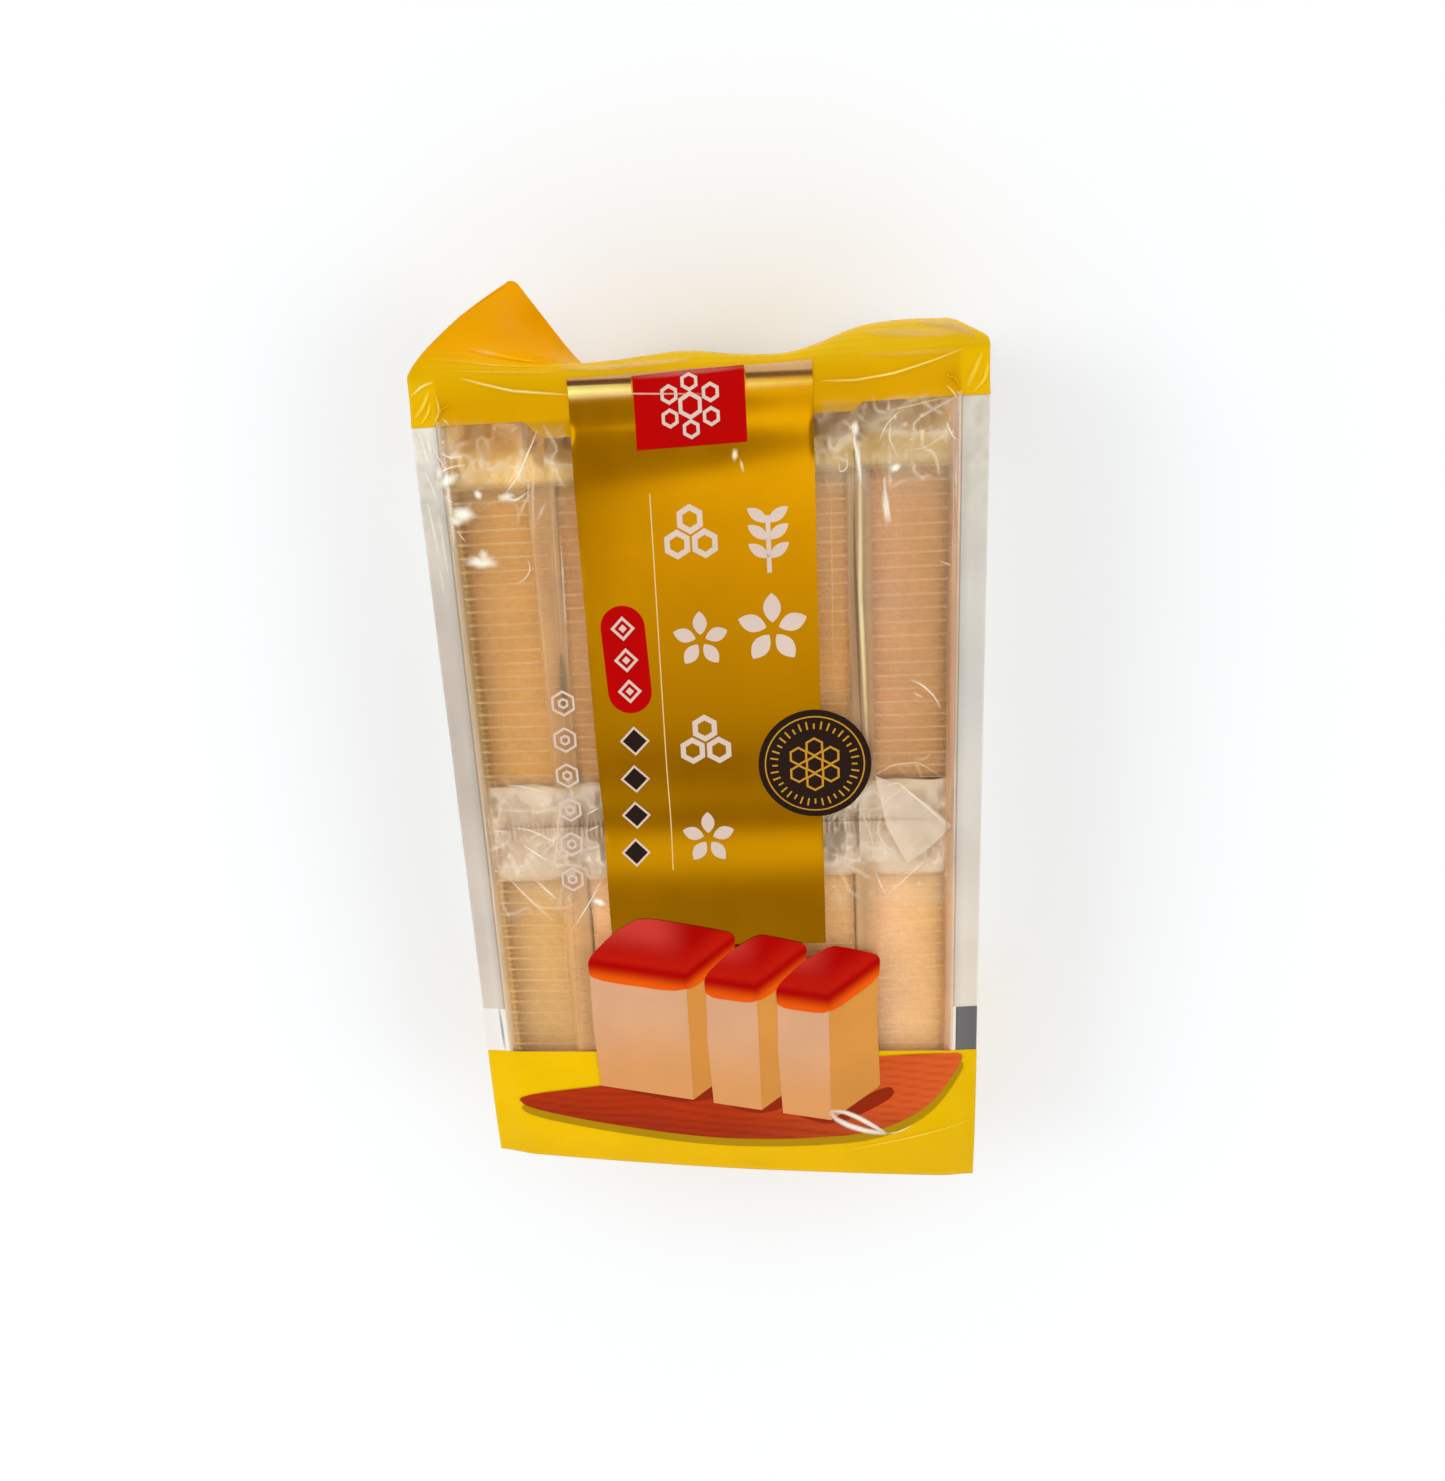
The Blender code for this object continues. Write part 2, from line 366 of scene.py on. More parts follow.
def add_piece(name, points, faces, material, ink, soft=None, thickness=0):
    """A piece on the body, from points in metres, with its ink colour and cover at each point."""
    mesh = bpy.data.meshes.new(name)
    mesh.from_pydata([tuple(p) for p in points], [], faces)
    mesh.validate()
    if ink is not None:
        attribute = mesh.attributes.new("Ink", "FLOAT_COLOR", "POINT")
        colours = np.ones((len(points), 4), np.float32)
        colours[:, :3] = np.asarray(ink).reshape(-1, 3)
        attribute.data.foreach_set("color", colours.reshape(-1))
    if soft is not None:
        attribute = mesh.attributes.new("Soft", "FLOAT", "POINT")
        attribute.data.foreach_set("value", np.asarray(soft, np.float32).reshape(-1))
    mesh.materials.append(material)
    for polygon in mesh.polygons:
        polygon.use_smooth = True
    obj = bpy.data.objects.new(name, mesh)
    bpy.context.scene.collection.objects.link(obj)
    if thickness:
        solid = obj.modifiers.new("thickness", "SOLIDIFY")
        solid.thickness = thickness * MM
        solid.offset = -1
    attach(obj, "root")


def quads(index, flip=False):
    """Faces between neighbours of a grid of point numbers."""
    a, b, c, d = index[:-1, :-1], index[:-1, 1:], index[1:, 1:], index[1:, :-1]
    return np.stack([d, c, b, a] if flip else [a, b, c, d], axis=-1).reshape(-1, 4).tolist()


def grid_faces(rows, columns, offset=0, closed=False, flip=False):
    """Faces of a grid of points. A closed grid joins its last column to its first."""
    index = np.arange(rows * columns).reshape(rows, columns) + offset
    return quads(np.hstack([index, index[:, :1]]) if closed else index, flip)


def film_patch(name, x_of, w_of, columns, rows, material, lift=0, ink=None, soft=None, thickness=0):
    """A patch of the front sheet. x_of and w_of are a start and an end, or functions of both shares."""
    u, v = shares(columns + 1, rows + 1)
    x = x_of(u, v) if callable(x_of) else x_of[0] + (x_of[1] - x_of[0]) * u
    w = w_of(u, v) if callable(w_of) else w_of[0] + (w_of[1] - w_of[0]) * v
    points = film(x, w, lift).reshape(-1, 3)
    shade = ink(x, w) if callable(ink) else ink
    cover = None if soft is None else soft(x, w)
    add_piece(name, points, grid_faces(rows + 1, columns + 1), material, shade, cover, thickness)


def flat_piece(name, shapes, lift, cell=2, material=INK, soft=None):
    """Printed shapes laid on the film. Each holds its outline and its colour, or a function that gives it."""
    points, faces, inks = [], [], []
    for outline, colour in shapes:
        bm = bmesh.new()
        bm.faces.new([bm.verts.new((x, w, 0)) for x, w in outline])
        bmesh.ops.triangulate(bm, faces=bm.faces[:])
        edge = np.array(outline, float)
        for axis in (0, 1):
            way = Vector((1 - axis, axis, 0))
            first = math.floor(edge[:, axis].min() / cell) + 1
            for k in range(first, math.ceil(edge[:, axis].max() / cell)):
                parts = bm.verts[:] + bm.edges[:] + bm.faces[:]
                bmesh.ops.bisect_plane(bm, geom=parts, dist=1e-5, plane_co=way * (k * cell), plane_no=way)
        bmesh.ops.remove_doubles(bm, verts=bm.verts[:], dist=1e-4)
        bmesh.ops.recalc_face_normals(bm, faces=bm.faces[:])
        bm.verts.index_update()
        co = np.array([v.co for v in bm.verts], float)
        for face in bm.faces:
            ring = [len(points) + v.index for v in face.verts]
            faces.append(ring[::-1] if face.normal.z < 0 else ring)
        points.extend(film(co[:, 0], co[:, 1], lift))
        inks.append(colour(co[:, 0], co[:, 1]) if callable(colour) else np.tile(colour, (len(co), 1)))
        bm.free()
    cover = None if soft is None else np.full(len(points), soft)
    add_piece(name, points, faces, material, np.concatenate(inks), cover)


def blend_colour(a, b, share):
    share = np.asarray(share)[..., None]
    return a + (b - a) * share


# Yellow bands and header
YELLOW_BAND = srgb(211, 154, 0)
YELLOW_BRIGHT = srgb(234, 186, 2)
YELLOW_DEEP = srgb(186, 134, 8)
ORANGE = srgb(231, 160, 0)
YELLOW_HEADER = srgb(216, 170, 2)


def top_edge(x):
    """Lower edge of the top yellow band."""
    left = 4.6 * ramp(x, -47, 6) * ramp(x, -20, -4)
    right = 2.2 * ramp(x, 24, 4) * ramp(x, 45, -3)
    return BAND_TOP_W - left - right


def top_ink(x, w):
    colour = blend_colour(YELLOW_BAND, YELLOW_HEADER, ramp(w, 93, 14))
    # Deeper orange on the raised left corner: two layers of film, with painted shade
    left = ramp(x, -28, -18) * ramp(w, 99, 18)
    colour = blend_colour(colour, ORANGE, left)
    # Painted highlight: the crinkled yellow fin corners are made lighter
    fins = ramp(np.abs(x), 69, 2) * ramp(w, 104, -4)
    colour = blend_colour(colour, YELLOW_BRIGHT, 0.6 * fins)
    inner = ramp(x, -48, 4) * ramp(x, 46, -3) * ramp(w, 90.4, -1.4)
    return blend_colour(colour, YELLOW_DEEP, 0.8 * inner)


def full_width(u, v):
    return (u - 0.5) * 2 * WINDOW_OUTER_X


HEADER_END_W = SEAL_Y + HEADER_HEIGHT - 0.4
HEADER_ROUND = 3


def header_x(u, v):
    """Full width, with the two free corners rounded."""
    near_end = ((v - 1) * (HEADER_END_W - BAND_TOP_W) / HEADER_ROUND + 1).clip(0, 1)
    return full_width(u, v) * (1 - HEADER_ROUND * (1 - np.sqrt(1 - near_end**2)) / WINDOW_OUTER_X)


def header_w(u, v):
    edge = top_edge(header_x(u, v))
    return edge + (HEADER_END_W - edge) * v


film_patch("yellow_header", header_x, header_w, 190, 150, YELLOW, ink=top_ink, thickness=0.3)


def bottom_ink(x, w):
    colour = blend_colour(YELLOW_BRIGHT, YELLOW_BAND, 0.35 * ramp(w, -128, -16))
    return blend_colour(colour, YELLOW_HEADER, 0.5 * ramp(x, 30, 30))


def bottom_w(u, v):
    edge = bottom_edge(full_width(u, v))
    return edge + (BAND_BOTTOM_W - edge) * v


film_patch("yellow_bottom", full_width, bottom_w, 150, 46, YELLOW, ink=bottom_ink, thickness=0.3)

# Gold strip
GOLD_COLOUR = srgb(236, 176, 4)
GOLD_BROWN = srgb(226, 162, 4)
GOLD_BOTTOM_W = -64


def gold_top(x):
    return 100.5 + (x - GOLD_LEFT_X) / (GOLD_RIGHT_X - GOLD_LEFT_X) * 1.6


def gold_x(u):
    return GOLD_LEFT_X + (GOLD_RIGHT_X - GOLD_LEFT_X) * u


def gold_ink(x, w):
    return blend_colour(GOLD_COLOUR, GOLD_BROWN, 0.5 + 0.5 * noise(x * 0.5, w, 45, 31))


def up_to_gold_top(start):
    """Places along the strip, from start up to its slanting top edge."""
    return lambda u, v: start + (gold_top(gold_x(u)) - start) * v


GOLD_SPAN = (GOLD_LEFT_X, GOLD_RIGHT_X)
film_patch(
    "gold_strip", GOLD_SPAN, up_to_gold_top(GOLD_BOTTOM_W), 90, 330, GOLD, lift=0.14, ink=gold_ink,
)

# Clear windows
WINDOW_SPAN = (BAND_BOTTOM_W - 0.6, BAND_TOP_W + 0.2)
LEFT_SPAN = (-WINDOW_OUTER_X, GOLD_LEFT_X + 0.2)
RIGHT_SPAN = (GOLD_RIGHT_X - 0.2, WINDOW_OUTER_X)
for side, span in (("left", LEFT_SPAN), ("right", RIGHT_SPAN)):
    film_patch("window_film_" + side, span, WINDOW_SPAN, 90, 300, CLEAR, lift=-0.02)

# White corner fins below the film, with their tones at places along the bag
FIN_END_SHADE = srgb(100, 100, 102)
FIN_W = (-86, -40, 5, 45, 70, 90)
FIN_TONES = {
    "left": (
        (218, 205, 192), (213, 201, 189), (202, 190, 179),
        (207, 197, 186), (226, 219, 208), (234, 228, 216),
    ),
    "right": (
        (231, 219, 203), (228, 219, 207), (219, 215, 208),
        (214, 209, 200), (213, 207, 195), (215, 208, 194),
    ),
}


def fin_ink(side):
    """Tone along one fin, with painted shade that darkens it towards its inner edge."""
    tones = np.array([srgb(*tone) for tone in FIN_TONES[side]])

    def paint(x, w):
        tone = np.stack([np.interp(w, FIN_W, tones[:, channel]) for channel in range(3)], axis=-1)
        # Painted shade along the inner edge, and a darker rim right at it
        inner = 0.14 * ramp(np.abs(x), 73.4, -3.4) + 0.3 * ramp(np.abs(x), 70.5, -0.5)
        fleck = noise(x, w, 2.2, 23) * ramp(w, 50, 20)
        return tone * (1 - inner + 0.04 * noise(x, w, 18, 21) + 0.09 * fleck)[..., None]
    return paint


FIN_OUTER_X = WINDOW_OUTER_X - 0.1
for side, span in (("left", (-FIN_OUTER_X, -FIN_INNER_X)), ("right", (FIN_INNER_X, FIN_OUTER_X))):
    film_patch(
        "white_fin_" + side, span, (FIN_END_W, BAND_TOP_W + 0.5), 12, 240, WHITE, lift=-0.16,
        ink=fin_ink(side), thickness=0.25,
    )
# Painted shade: the clear lower end of the right fin is a dark grey sheet, standing for the darkness seen
# through it
film_patch(
    "grey_fin_end", (71, FIN_OUTER_X), (BAND_BOTTOM_W - 0.4, FIN_END_W - 0.3), 8, 16, WHITE, lift=-0.18,
    ink=lambda x, w: np.broadcast_to(FIN_END_SHADE, x.shape + (3,)), thickness=0.2,
)

# Film of the sides, back and ends
BACK_INSET_TOP = 9
BACK_INSET_BOTTOM = 8
BACK_RADIUS = 7
END_TUCK = 6
END_TUCK_LENGTH = 34
SIDE_BULGE = 1.2
SIDE_STEPS = 16
BACK_STEPS = 36
GUSSET_INSET = 0.5
# Last stations at either end: how far from the end, and how far in from the sides
END_STATIONS = ((0.6, 3.2), (1.3, 1.4))
SIDE_CRUMPLE = 1.75
GUSSET_WHITE = srgb(226, 221, 210)
BACK_FIN_INNER_X = 60
BACK_FIN_OUTER_X = 75.8
BACK_FIN_TOP_Y = 86
BACK_FIN_BOTTOM_Y = -116


def end_share(y):
    """How far a place is into the drawn-in stretch at either end."""
    return (1 - np.minimum(BODY_TOP_Y - y, y - BODY_BOTTOM_Y) / END_TUCK_LENGTH).clip(0, None)


def below_front(z):
    """Share of the way from the front sheet down to the back."""
    return 1 - z / (FRONT_Z + 0.6)


def waist(y):
    """How far the side film stands out, or is tucked in where negative."""
    end = end_share(y)
    return SIDE_BULGE * (1 - end) - END_TUCK * end * end


def gusset_loop(y, inset):
    """Film around the sides and back at one station, from the right front corner to the left one."""
    half = BODY_HALF_WIDTH - inset
    top = float(front_height(np.array(half), np.array(y))) - 0.6
    side = []
    for step in np.linspace(0, 1, SIDE_STEPS)[:-1]:
        side.append((half + waist(y) * math.sin(math.pi * step), top + (BACK_RADIUS - top) * step))
    for angle in np.radians(np.linspace(0, 90, 7)):
        inward, up = 1 - math.cos(angle), 1 - math.sin(angle)
        side.append((half - BACK_RADIUS * inward, inset + BACK_RADIUS * up))
    back = [(x, inset) for x in np.linspace(half - BACK_RADIUS, BACK_RADIUS - half, BACK_STEPS)[1:-1]]
    x, z = np.array(side + back + [(-x, z) for x, z in side[::-1]]).T
    middle = (BODY_TOP_Y + BODY_BOTTOM_Y) / 2
    place = (y - middle) / (BODY_TOP_Y - middle)
    draw_in = BACK_INSET_TOP if place > 0 else BACK_INSET_BOTTOM
    return np.stack([x, y - place * abs(place) * draw_in * below_front(z).clip(0, None), z], axis=-1)


def gusset_points():
    stations = [(BODY_BOTTOM_Y + gap, inset) for gap, inset in END_STATIONS]
    stations += [(y, GUSSET_INSET) for y in np.linspace(BODY_BOTTOM_Y + 3, BODY_TOP_Y - 3, 120)]
    stations += [(BODY_TOP_Y - gap, inset) for gap, inset in END_STATIONS[::-1]]
    grid = np.array([gusset_loop(y, inset) for y, inset in stations])
    x, y, z = np.moveaxis(grid, -1, 0)
    tuck = 0.55 * noise(y * 0.6, z * 1.6, 16, 41) + 0.3 * folded(y, z, 10, 43)
    x -= np.sign(x) * ramp(z, 6, 8) * ramp(z, FRONT_Z - 2, -6) * (0.9 + tuck)
    z += ramp(z, 3, -2) * (0.25 + 0.25 * noise(x, y, 24, 47) + 0.15 * noise(x, y, 8, 49))
    return grid


def gusset_ink(w):
    """White, with the yellow bands of the front carried round both ends."""
    ends = np.maximum(ramp(w, BAND_TOP_W, 0.8), ramp(w, BAND_BOTTOM_W, -0.8))
    return blend_colour(GUSSET_WHITE, YELLOW_HEADER, ends)


# The ends are closed by rings that draw together into a seam just under the front sheet
CAP_RINGS = 14
gusset = gusset_points()
rows, columns = gusset.shape[:2]
points, ink = list(placed(gusset)), list(gusset_ink(gusset[..., 1]).reshape(-1, 3))
faces = grid_faces(rows, columns)
for row, way, gap in ((0, -1, 0.9), (rows - 1, 1, 3.4)):
    edge = gusset[row]
    end_y = BODY_BOTTOM_Y + END_STATIONS[0][0] if way < 0 else BODY_TOP_Y - END_STATIONS[0][0]
    x, y = edge[:, 0] * 0.985, np.full(columns, end_y)
    spine = np.stack([x, y, front_height(x, y) - gap], axis=-1)
    rim, start = np.arange(columns) + row * columns, len(points)
    for share in np.arange(1, CAP_RINGS + 1) / CAP_RINGS:
        loop = edge + (spine - edge) * share
        fold = folded(loop[:, 0], loop[:, 2], 11, 53)
        loop[:, 1] += way * (0.3 + 0.7 * fold) * math.sin(math.pi * share)
        points.extend(placed(loop))
        ink.extend(np.tile(YELLOW_HEADER, (columns, 1)))
    rings = np.arange(CAP_RINGS * columns).reshape(CAP_RINGS, columns) + start
    faces += quads(np.vstack([rim, rings]), flip=way < 0)
add_piece("gusset_film", points, faces, WHITE, ink)

for side, sign in (("left", -1), ("right", 1)):
    u, v = shares(9, 140)
    x = BACK_FIN_INNER_X + (BACK_FIN_OUTER_X - BACK_FIN_INNER_X) * u
    y = BACK_FIN_BOTTOM_Y + (BACK_FIN_TOP_Y - BACK_FIN_BOTTOM_Y) * v
    z = 0.75 + 0.3 * noise(x, y, 15, 61) * ramp(x, 66, 4)
    fin = np.stack([sign * x, y, z], axis=-1)[:, ::sign]
    ink = gusset_ink(fin[..., 1])
    add_piece("back_fin_" + side, placed(fin), grid_faces(140, 9), WHITE, ink, thickness=0.3)

# What lies under the windows
CAMERA_PLACE = (24.42, 61.74, 250.49 + 47.6)


def under(x, w, depth):
    """Place below the film, by depth, on the line of sight of the photograph through film place (x, w)."""
    eye = np.array(CAMERA_PLACE)
    point = sheet(np.asarray(x, float), np.asarray(w, float))
    reach = (eye[2] - point[..., 2] + depth) / (eye[2] - point[..., 2])
    return eye + (point - eye) * reach[..., None]


def keep_inside(points, slack=0.6):
    """Points moved in where they would poke out of the side film or the bottom end."""
    y, z = points[..., 1], points[..., 2]
    step = ((FRONT_Z - 1 - z) / (FRONT_Z - 1 - BACK_RADIUS)).clip(0, 1)
    crumple = SIDE_CRUMPLE * ramp(z, 4, 8) * ramp(z, FRONT_Z - 1, -6)
    corner = BACK_RADIUS * (1 - np.sqrt(1 - (1 - z / BACK_RADIUS).clip(0, 1) ** 2))
    half = BODY_HALF_WIDTH - GUSSET_INSET + waist(y) * np.sin(math.pi * step) - crumple - corner - slack
    points[..., 0] = np.clip(points[..., 0], -half, half)
    points[..., 1] = np.maximum(y, BODY_BOTTOM_Y + BACK_INSET_BOTTOM * below_front(z) + 2)
    return points


# Cells of the bag: left and right edge, tone of the crumb, tint towards the right edge
COLUMNS = (
    (-70, -41.7, (222, 168, 100), (248, 187, 101)),
    (-40.9, -3.5, (255, 194, 124), (255, 187, 112)),
    (2.5, 41.6, (245, 181, 94), (243, 179, 96)),
    (43.6, 69.4, (234, 176, 124), (214, 158, 92)),
)
ROWS = ((-14.5, 75), (-126, -40))
# Light on the lower row, against the upper row, column by column
LOWER_LIGHT = (
    ((1.06, 1.2, 1.45), (1.12, 1.26, 1.5)), ((1.62, 1.75, 2.2), (1.62, 1.75, 2.2)),
    ((1.36, 1.55, 2.4), (1.36, 1.55, 2.4)), ((1.47, 1.7, 2.1), (1.5, 1.74, 2.1)),
)
TRAY_DEPTH = 1.6
CAKE_DEPTH = 2.6
CAKE_MARGIN = 0.8
CAKE_GRID = 2.2
CAKE_ROUND = 2.4
RIB_PITCH = 3.7
RIB_ROWS = (0, 0.06, 0.12, 0.27, 0.39, 0.45, 0.5, 0.55, 0.61, 0.73, 0.88, 0.94)
CAKE_BOTTOM_Z = 9
CRUST = srgb(128, 66, 28)
CRUST_HEIGHT = 5


def box_shell(lo, hi, cell, radius):
    """Points and faces of a closed box with rounded edges, gridded evenly."""
    points, faces = [], []
    for axis in range(3):
        a, b = [k for k in range(3) if k != axis]
        across, along = [max(2, int((hi[k] - lo[k]) / cell)) + 1 for k in (b, a)]
        share_b, share_a = shares(across, along)
        for at, flip in ((lo[axis], axis == 1), (hi[axis], axis != 1)):
            side = np.full((along, across, 3), at)
            side[..., a] = lo[a] + (hi[a] - lo[a]) * share_a
            side[..., b] = lo[b] + (hi[b] - lo[b]) * share_b
            faces += grid_faces(along, across, len(points), flip=flip)
            points.extend(side.reshape(-1, 3))
    _, first, same = np.unique(np.round(points, 4), axis=0, return_index=True, return_inverse=True)
    co = np.array(points)[first]
    held = np.clip(co, lo + radius, hi - radius)
    away = co - held
    length = np.linalg.norm(away, axis=1, keepdims=True).clip(1e-6, None)
    return held + away / length * radius, same.ravel()[np.array(faces)].tolist()


def row_light(row, column, share):
    """Light on a cell, against the upper row, at a share of its width."""
    return blend_colour(*np.array(LOWER_LIGHT[column]), share) if row else 1


# Places across a tray, and how far it drops there. The first two share a place, for the upright wall
TRAY_SIDE = np.array([0, 0, 0.012, 0.035, 0.07, 0.11])
TRAY_ACROSS = np.concatenate([TRAY_SIDE, np.linspace(0.15, 0.85, 13), 1 - TRAY_SIDE[::-1]])
SIDE_DROP = [9, 3, 1.3, 0.4]
TRAY_DROP = np.array(SIDE_DROP + [0] * (len(TRAY_ACROSS) - 8) + SIDE_DROP[::-1])
# The tray's rib crests carry a painted highlight, and its side walls a painted olive shade, lighter in the
# lower row
TRAY_PLAIN = srgb(200, 148, 84)
TRAY_LIT = srgb(250, 214, 150)
TRAY_OLIVE = (srgb(200, 154, 70), srgb(238, 182, 84))
TRAY_OLIVE_LIT = srgb(240, 206, 130)
for row, (w_low, w_high) in enumerate(ROWS):
    for column, (x_left, x_right, tone, side_tone) in enumerate(COLUMNS):
        number = row * 4 + column + 1
        lo = under(x_left + CAKE_MARGIN, w_low + CAKE_MARGIN, CAKE_DEPTH)
        hi = under(x_right - CAKE_MARGIN, w_high - CAKE_MARGIN, CAKE_DEPTH)
        lo[2], hi[2] = CAKE_BOTTOM_Z, FRONT_Z - CAKE_DEPTH - 1.1
        co, faces = box_shell(lo, hi, CAKE_GRID, CAKE_ROUND)
        x, y, z = co.T
        z += smooth((z - lo[2]) / (hi[2] - lo[2])) * 0.35 * noise(x, y, 14, 70 + number)
        x += 0.3 * noise(y, z, 12, 80 + number)
        share = smooth((x - lo[0]) / (hi[0] - lo[0]))
        shade = blend_colour(srgb(*tone), srgb(*side_tone), share) * row_light(row, column, share)
        shade = shade * (1 + 0.06 * noise(x, y, 7, 90 + number))[:, None]
        shade = blend_colour(shade, CRUST, ramp(z, lo[2] + CRUST_HEIGHT, -1.5))
        add_piece("castella_%d" % number, placed(keep_inside(co, 0.9)), faces, CAKE, shade)

        # Ribbed clear tray over the cake
        ribs = int(round((w_high - w_low) / RIB_PITCH))
        stations = np.append((np.arange(ribs)[:, None] + RIB_ROWS).ravel() / ribs, 1)
        s, t = np.meshgrid(TRAY_ACROSS, stations)
        x, w = x_left + (x_right - x_left) * s, w_low + (w_high - w_low) * t
        turn = (t * ribs) % 1
        ridge, minor = bell(turn, 0.5, 0.085), bell(np.minimum(turn, 1 - turn), 0, 0.07)
        end = ramp(w, w_high, -2.5) * ramp(w, w_low, 2.5)
        made = under(x, w, TRAY_DEPTH)
        made[..., 2] += (0.36 * ridge + 0.14 * minor) * end - TRAY_DROP - 5 * (1 - end) ** 2
        made[..., 0] += 0.25 * np.where(s < 0.5, -1, 1) * (TRAY_DROP > 0.2) * ridge
        faint = 0.72 + 0.28 * noise(x, w, 13, 150 + number)
        mark = (ridge + 0.4 * minor) * faint * (0.8 if column else 1)
        lit = mark.clip(0, 1)
        plain = blend_colour(TRAY_PLAIN * row_light(row, column, s), TRAY_LIT, lit)
        left_side = ramp(s, 0.17, -0.05) * (0.72 + 0.28 * faint)
        # Painted shade on the left wall of the first column and the right wall of the last
        side = {0: left_side, 3: 0.5 * ramp(s, 0.94, 0.04)}.get(column, 0)
        olive = blend_colour(TRAY_OLIVE[row], TRAY_OLIVE_LIT, 0.85 * lit)
        shade = blend_colour(plain, olive, side)
        cover = (0.10 + 0.5 * mark + side * 0.8).clip(0, 0.95)
        faces = grid_faces(*x.shape)
        add_piece("tray_%d" % number, placed(keep_inside(made, 0.3)), faces, TRAY, shade, cover)

# Loose ends of the single wraps, in the gap under the header and between the two rows:
# where they start and end along the bag, and how far they fall
WRAP_ENDS = (
    ("top", 70.5, 97, 8),
    ("upper", -12.5, -27.5, 6),
    ("lower", -42, -26, 5),
)
# Tones of the loose ends; TOP_LIGHT paints the top ends lighter or darker, column by column
WRAP_TOP_TONE = srgb(248, 202, 120)
TOP_LIGHT = (1.25, 1.15, 0.9, 0.9)
WRAP_MIDDLE_TONE = srgb(250, 220, 184)
WRAP_RIDGE_HIGHLIGHT = srgb(255, 240, 215)
WRAP_CRIMP = 1.5
WRAP_GRID = (76, 60)
for name, w_start, w_end, fall in WRAP_ENDS:
    for column, (x_left, x_right, _, _) in enumerate(COLUMNS):
        span = (
            (x_left - 1.6, x_right + 0.5), (x_left - 0.5, x_left + 12),
            (x_right - 14, x_right + 1.2), (x_left - 1.2, x_right + 1.8),
        )[column]
        u, v = shares(*WRAP_GRID)
        x = span[0] + (span[1] - span[0]) * u
        top = name == "top"
        ragged = 1.3 * noise(x, w_start, 9, 98) * (0.3 if top else 1)
        w = w_start + ragged * (1 - v) + (w_end - w_start) * v
        outer = {0: smooth(u / 0.3), 3: ramp(u, 1, -0.3)}.get(column, 1)
        slack = smooth(v * 2.5)
        fold, fine = folded(x, w, 8.5, 101 + column), folded(x * 1.2, w, 4, 111 + column)
        crimp = 0.25 * np.sin(x * 2 * math.pi / WRAP_CRIMP) * ramp(v, 0.75, 0.1)
        depth = 1.9 + fall * smooth(v) * outer - slack * (1.3 * fold + 0.6 * fine) - crimp
        made = under(x, w, depth.clip(1.2, None))
        tone = WRAP_TOP_TONE * TOP_LIGHT[column] if top else WRAP_MIDDLE_TONE
        ridge = ramp(fold * 0.6 + fine * 0.5, 0.35, 0.5)
        # Patches of painted shade, and a painted highlight on the ridges of the folds
        shade = blend_colour(tone, tone * 0.82, 0.5 + 0.5 * noise(x, w, 12, 121 + column))
        shade = blend_colour(shade, WRAP_RIDGE_HIGHLIGHT, 0.5 * ridge * slack)
        cover = 0.9 * smooth(v / 0.2 + 0.02 if top else v / 0.06 + 0.25)
        faces = grid_faces(*x.shape, flip=w_end < w_start)
        add_piece("wrap_end_%s_%d" % (name, column + 1), placed(keep_inside(made)), faces, WRAP, shade, cover)

# Film of the wraps beside and between the cells: left and right edge, lean, two tones (a plain one, and a
# deep one of painted shade) and cover
WRAP_JOINS = (
    ("left_edge", -70.1, -66.4, 0, (206, 180, 144), (200, 160, 104), 0.92),
    ("left", -47.4, -38.2, -0.9, (226, 176, 116), (216, 162, 104), 0.85),
    ("right", 39.6, 47, 0.9, (222, 172, 116), (196, 160, 118), 0.85),
    ("right_edge", 66, 70.1, 0, (220, 184, 150), (206, 154, 108), 0.92),
)
for name, x_left, x_right, lean, tone, deep, strength in WRAP_JOINS:
    u, v = shares(16, 160)
    x = x_left + (x_right - x_left) * u + lean * smooth(1 - v)
    across = np.sin(math.pi * u)
    if name.endswith("edge"):
        w = -103 + 194 * v
        inward = u if name == "left_edge" else 1 - u
        thin, deepened = 0.1 + 0.9 * smooth(inward / 0.8), smooth(inward / 0.45)
        shown = ramp(inward, 1, -0.45)
    else:
        w = -100.6 + 186 * v
        thin, deepened = 1, across * (0.6 + 0.4 * noise(x, w, 20, 143))
        shown = smooth(1.9 * across) * np.maximum(ramp(w, 75, -4) * ramp(w, -16, 4), ramp(w, -37, -4))
    made = under(x, w, thin * (1.05 + 0.5 * across + 0.15 * noise(x, w, 12, 141)))
    # Painted shade deepens towards the inner side of the edge strips and the middle of the joins; painted
    # light makes the lower row lighter
    shade = blend_colour(srgb(*tone), srgb(*deep), deepened) * (1 + 0.25 * ramp(w, -38, -6))[..., None]
    cover = strength * shown * (0.85 + 0.15 * noise(x * 2, w * 0.3, 6, 145))
    add_piece("wrap_join_" + name, placed(made), grid_faces(160, 16), WRAP, shade, cover)


# Creases, folds and glints: painted light and shade just over the film, or below it
def light_piece(name, parts, depth, closed=False):
    """One piece of grids (x, w, colour, cover), under the film by depth, or over it if depth is negative."""
    points, faces, ink, cover = [], [], [], []
    for x, w, colour, strength in parts:
        faces += grid_faces(*x.shape, len(points), closed, flip=True)
        points.extend(placed(under(x, w, depth)) if depth > 0 else film(x, w, -depth).reshape(-1, 3))
        cover.extend(strength.ravel())
        ink.extend(np.tile(srgb(*colour), (x.size, 1)))
    add_piece(name, points, faces, STREAK, ink, cover)


STREAK_SIDES = np.array([-1, -0.45, 0, 0.45, 1])
STREAK_FADE = np.array([0, 0.75, 1, 0.75, 0])
STREAK_STEP = 0.8


